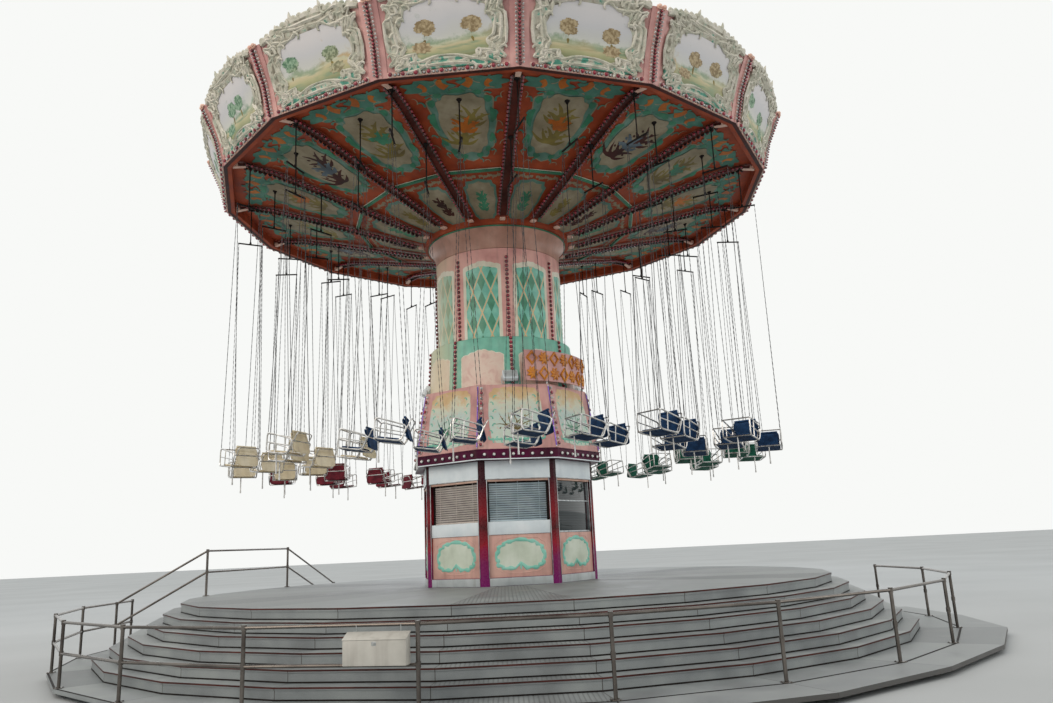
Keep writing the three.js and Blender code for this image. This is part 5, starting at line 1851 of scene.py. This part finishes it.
def hung_at(kind):
    """The places of one kind of swing, the chair looking along -X at azimuth 0 before it sways."""
    radius, offset, _ = HANGERS[kind]
    rod = Matrix.Translation((0, -radius, 0))
    return [turned(a + offset) @ rod @ turned(180.0 + sway(a + offset)) for a in RIBS]


def hanger(z):
    """Rod, rosette, swivel and spreader bar under a hanging point at height z."""
    part = bmesh.new()
    foot = z - ROD_LONG
    rosette = [(0.0, z), (0.055, z), (0.05, z - 0.02), (0.03, z - 0.035), (0.022, z - 0.07), (0.0, z - 0.07)]
    stamp(part, spun(rosette, 10, closed=False))
    stamp(part, tubes([even(((0, 0, z - 0.05), (0, 0, foot + 0.02)), 0.013)], 6))
    stamp(part, spun([(0.0, foot + 0.065), (0.02, foot + 0.055), (0.026, foot + 0.02), (0.0, foot + 0.012)], 8, closed=False))
    stamp(part, tubes([even(((0, -HALF_SEAT - 0.012, foot), (0, HALF_SEAT + 0.012, foot)), 0.018)], 8))
    for y in (-HALF_SEAT, HALF_SEAT):
        ring = [(Vector((0.022 * math.cos(a), y, foot - 0.022 + 0.022 * math.sin(a))), 0.005) for a in [math.radians(60 * j) for j in range(6)]]
        stamp(part, tubes([ring], 4, closed=True))
    return part


def chain(start, end):
    """Flat links from start to end, each turned a quarter from the last."""
    part = bmesh.new()
    along = end - start
    count = int(along.length / 0.06)
    aim = Vector((0, 0, 1)).rotation_difference(along).to_matrix().to_4x4()
    link = slab((-0.0055, -0.0022, -0.032), (0.0055, 0.0022, 0.032))
    places = []
    for i in range(count):
        spot = start.lerp(end, (i + 0.5) / count)
        places.append(Matrix.Translation(spot) @ aim @ Matrix.Rotation(math.radians(90 * (i % 2)), 4, "Z"))
    stamp(part, link, places)
    return part


tipped = Matrix.Translation((0.06, 0, SEAT_Z - 0.05)) @ Matrix.Rotation(math.radians(-LEAN), 4, "Y")
FRONT_EYE, REAR_EYE = tipped @ Vector((0.242, 0, 0.352)), tipped @ Vector((-0.252, 0, 0.275))


def chains(z):
    """The four chains of a swing whose hanging point is at height z."""
    part = bmesh.new()
    foot = z - ROD_LONG - 0.035
    for y in (-HALF_SEAT, HALF_SEAT):
        for x, eye in ((0.008, FRONT_EYE), (-0.008, REAR_EYE)):
            stamp(part, chain(Vector((x, y, foot)), eye + Vector((0, y, 0))))
    return part


hangers, links = bmesh.new(), bmesh.new()
for kind, (radius, offset, z) in HANGERS.items():
    stamp(hangers, hanger(z), hung_at(kind))
    stamp(links, chains(z), hung_at(kind))
stub = tubes([even(((0, -HANGERS["middle"][0], 9.86), (0, -HANGERS["middle"][0], 10.0)), 0.012)], 6)
stamp(hangers, stub, [turned(a + SECTOR / 2) for a in RIBS])
piece("hanger_rods", hangers, "crown", [soot], stands_for=ARMS)
piece("chains", links, "crown", [chain_steel], stands_for=ARMS)

# %% [markdown]
# ## Chairs
# A chair is a welded frame of bent tube: two side loops with rounded corners, a middle rail and an
# upright in each, and cross tubes that join them. A single post hangs under its front. The seat
# and the reclined back are moulded shells with padded covers.

# %% Chair frames
TUBE = 0.0135
SIDE_LOOP = [(0.232, 0.012), (0.258, 0.345), (-0.262, 0.262), (-0.195, 0.012)]


def chair_frame():
    """The tubes of one chair, which looks along +X, its seat's underside at height 0."""
    part = bmesh.new()
    for y in (-HALF_SEAT, HALF_SEAT):
        loop = rounded([(x, y, z) for x, z in SIDE_LOOP], 0.075, 4, closed=True)
        stamp(part, tubes([even(loop, TUBE)], 6, closed=True))
        stamp(part, tubes([even(((0.243, y, 0.185), (-0.23, y, 0.15)), 0.010)], 6))
        stamp(part, tubes([even(((0.06, y, 0.012), (0.075, y, 0.312)), 0.010)], 6))
    for x, z in ((0.256, 0.33), (0.232, 0.014), (-0.18, 0.014), (-0.255, 0.24)):
        stamp(part, tubes([even(((x, -HALF_SEAT, z), (x, HALF_SEAT, z)), TUBE * 0.9)], 6))
    back = rounded([(-0.185, -0.22, 0.03), (-0.315, -0.22, 0.385), (-0.315, 0.22, 0.385), (-0.185, 0.22, 0.03)], 0.05, 3)
    stamp(part, tubes([even(back, 0.010)], 6))
    return part


def foot_post():
    """The post that hangs upright under a tipped chair's front, with a rubber foot."""
    part = bmesh.new()
    toe = tipped @ Vector((0.205, 0, 0.015))
    stamp(part, tubes([even((toe, toe - Vector((0, 0, 0.35))), 0.013)], 8))
    stamp(part, tubes([even((toe - Vector((0, 0, 0.30)), toe - Vector((0, 0, 0.357))), 0.016)], 8))
    return part


def chair_shells():
    """Moulded seat and back shells with rolled edges."""
    part = bmesh.new()
    seat = plaque(lobed(0.205, 0.23, 6.0), 8, 0.0, 0.008)
    for vert in seat.verts:
        x, y, z = vert.co
        curl = 0.1 * (max(0.0, abs(y) / 0.23 - 0.8) - max(0.0, x / 0.205 - 0.8))
        vert.co = Vector((x + 0.018, y, z + 0.006 + curl * 0.4))
    stamp(part, seat)
    rest = plaque(lobed(0.19, 0.23, 6.0), 8, 0.0, 0.008)
    lean = Matrix.Translation((-0.254, 0, 0.222)) @ Matrix.Rotation(math.radians(-69), 4, "Y")
    for vert in rest.verts:
        x, y, z = vert.co
        roll = 0.10 * max(0.0, x / 0.19 - 0.75) ** 2 * 2
        vert.co = lean @ Vector((x, y, z + roll))
    stamp(part, rest)
    ends = [lean @ Vector((0.184, y, 0.012)) for y in (-0.2, 0.2)]
    stamp(part, tubes([even(ends, 0.021)], 8))
    return part


frames = bmesh.new()
swings = [(a + offset, place) for kind, (_, offset, _) in HANGERS.items() for a, place in zip(RIBS, hung_at(kind))]
stamp(frames, chair_frame(), [place @ tipped for _, place in swings])
stamp(frames, foot_post(), [place for _, place in swings])
piece("chair_frames", frames, "crown", [bright_tube], stands_for=ARMS)

# %% [markdown]
# ## Seat pads
# Each chair has a flat seat pad and a back pad in coated fabric over foam. A pad is puffed up by
# a short cloth simulation from a slightly smaller block, then thinned to a light mesh, because it
# repeats forty-eight times. The shells and pads go round the ride in four lots of colour:
# beige on the left, then dark blue in front, green, and dark red behind.

# %% Pads
def vinyl(tones):
    """Sockets for coated upholstery fabric: a dull surface and a fine leather grain."""

    def sockets(tree):
        spot = add(tree, "TexCoord").outputs["Object"]
        cloud = add(tree, "TexNoise", {"Vector": spot, "Scale": per_mm(120), "Detail": 5.0})
        tone = add(tree, "ValToRGB", {"Fac": cloud}, stops=list(zip((0.35, 0.65), tones)))
        grain = add(tree, "TexVoronoi", {"Vector": spot, "Scale": per_mm(9)})
        bump = add(tree, "Bump", {"Height": grain, "Strength": 0.2, "Distance": 0.001})
        return {"Base Color": tone, "Roughness": 0.7, "Normal": bump, "Specular IOR Level": 0.2}

    return sockets


PAD_COLOURS = {
    "beige": beige,
    "blue": material("blue_vinyl", vinyl(("#132B4A", "#21436A"))),
    "green": material("green_vinyl", vinyl(("#0F4A3A", "#1E6B55"))),
    "red": material("red_vinyl", vinyl(("#4E1220", "#74202E"))),
}


def swollen(part, cap):
    """Puffs a block into a pad by cloth simulation."""
    mesh = bpy.data.meshes.new("pad")
    part.to_mesh(mesh)
    part.free()
    pad = bpy.data.objects.new("pad", mesh)
    bpy.context.scene.collection.objects.link(pad)
    bpy.context.view_layer.objects.active = pad
    remesh = pad.modifiers.new("remesh", "REMESH")
    remesh.mode = "VOXEL"
    remesh.voxel_size = 0.006
    bpy.ops.object.modifier_apply(modifier=remesh.name)
    before = [v.co.copy() for v in pad.data.vertices]
    cloth = pad.modifiers.new("cloth", "CLOTH")
    cloth.settings.use_pressure = True
    cloth.settings.uniform_pressure_force = 4.0
    cloth.settings.effector_weights.gravity = 0.0
    for step in range(1, 21):
        bpy.context.scene.frame_set(step)
    bpy.ops.object.modifier_apply(modifier=cloth.name)
    bpy.context.scene.frame_set(1)
    for vert, start in zip(pad.data.vertices, before):
        move = vert.co - start
        if move.length > cap:
            vert.co = start + move.normalized() * cap
    thin = pad.modifiers.new("thin", "DECIMATE")
    thin.ratio = 420 / max(1, len(pad.data.polygons))
    bpy.ops.object.modifier_apply(modifier=thin.name)
    made = bmesh.new()
    made.from_mesh(pad.data)
    bpy.data.objects.remove(pad)
    return made


def seam_line(wide, long, height):
    """The piping round a pad's edge."""
    edge = lobed(wide, long, 7.0)
    path = [Vector((*edge(2 * math.pi * i / 24), height)) for i in range(24)]
    return tubes([even(path, 0.004)], 4, closed=True)


def pad_mesh(wide, long, thick):
    """One pad, lying flat with its underside at height 0, as a mesh to stamp."""
    block = slab((-wide + 0.01, -long + 0.01, 0.006), (wide - 0.01, long - 0.01, thick - 0.006), 0.006)
    bm = swollen(block, 0.010)
    low = min(v.co.z for v in bm.verts)
    for vert in bm.verts:
        vert.co.z = max(0.0, vert.co.z - low)
    stamp(bm, seam_line(wide - 0.004, long - 0.004, thick * 0.55))
    mesh = bpy.data.meshes.new("pad_shape")
    bm.to_mesh(mesh)
    bm.free()
    return mesh


seat_shape, back_shape = pad_mesh(0.195, 0.222, 0.035), pad_mesh(0.178, 0.222, 0.032)
seat_lie = Matrix.Translation((0.018, 0, 0.0155))
back_lie = Matrix.Translation((-0.246, 0, 0.2255)) @ Matrix.Rotation(math.radians(-69), 4, "Y") @ Matrix.Rotation(math.pi, 4, "X")
shell_mesh = bpy.data.meshes.new("shell_shape")
shell = chair_shells()
shell.to_mesh(shell_mesh)
shell.free()


def lot(azimuth):
    """The colour of the chair at an azimuth."""
    turn = (azimuth + 180) % 360 - 180
    if -112 < turn < -38:
        return "beige"
    return "blue" if abs(turn) < 75 else "green" if 0 < turn < 170 else "red"


parts = (("chair_shells", shell_mesh, Matrix()), ("seat_pads", seat_shape, seat_lie), ("back_pads", back_shape, back_lie))
for part_name, shape, lie in parts:
    for colour, finish in PAD_COLOURS.items():
        bm, one = bmesh.new(), bmesh.new()
        one.from_mesh(shape)
        stamp(bm, one, [place @ tipped @ lie for azimuth, place in swings if lot(azimuth) == colour])
        made = piece(f"{part_name}_{colour}", bm, "crown", [finish], stands_for=ARMS, sharp=60.0)
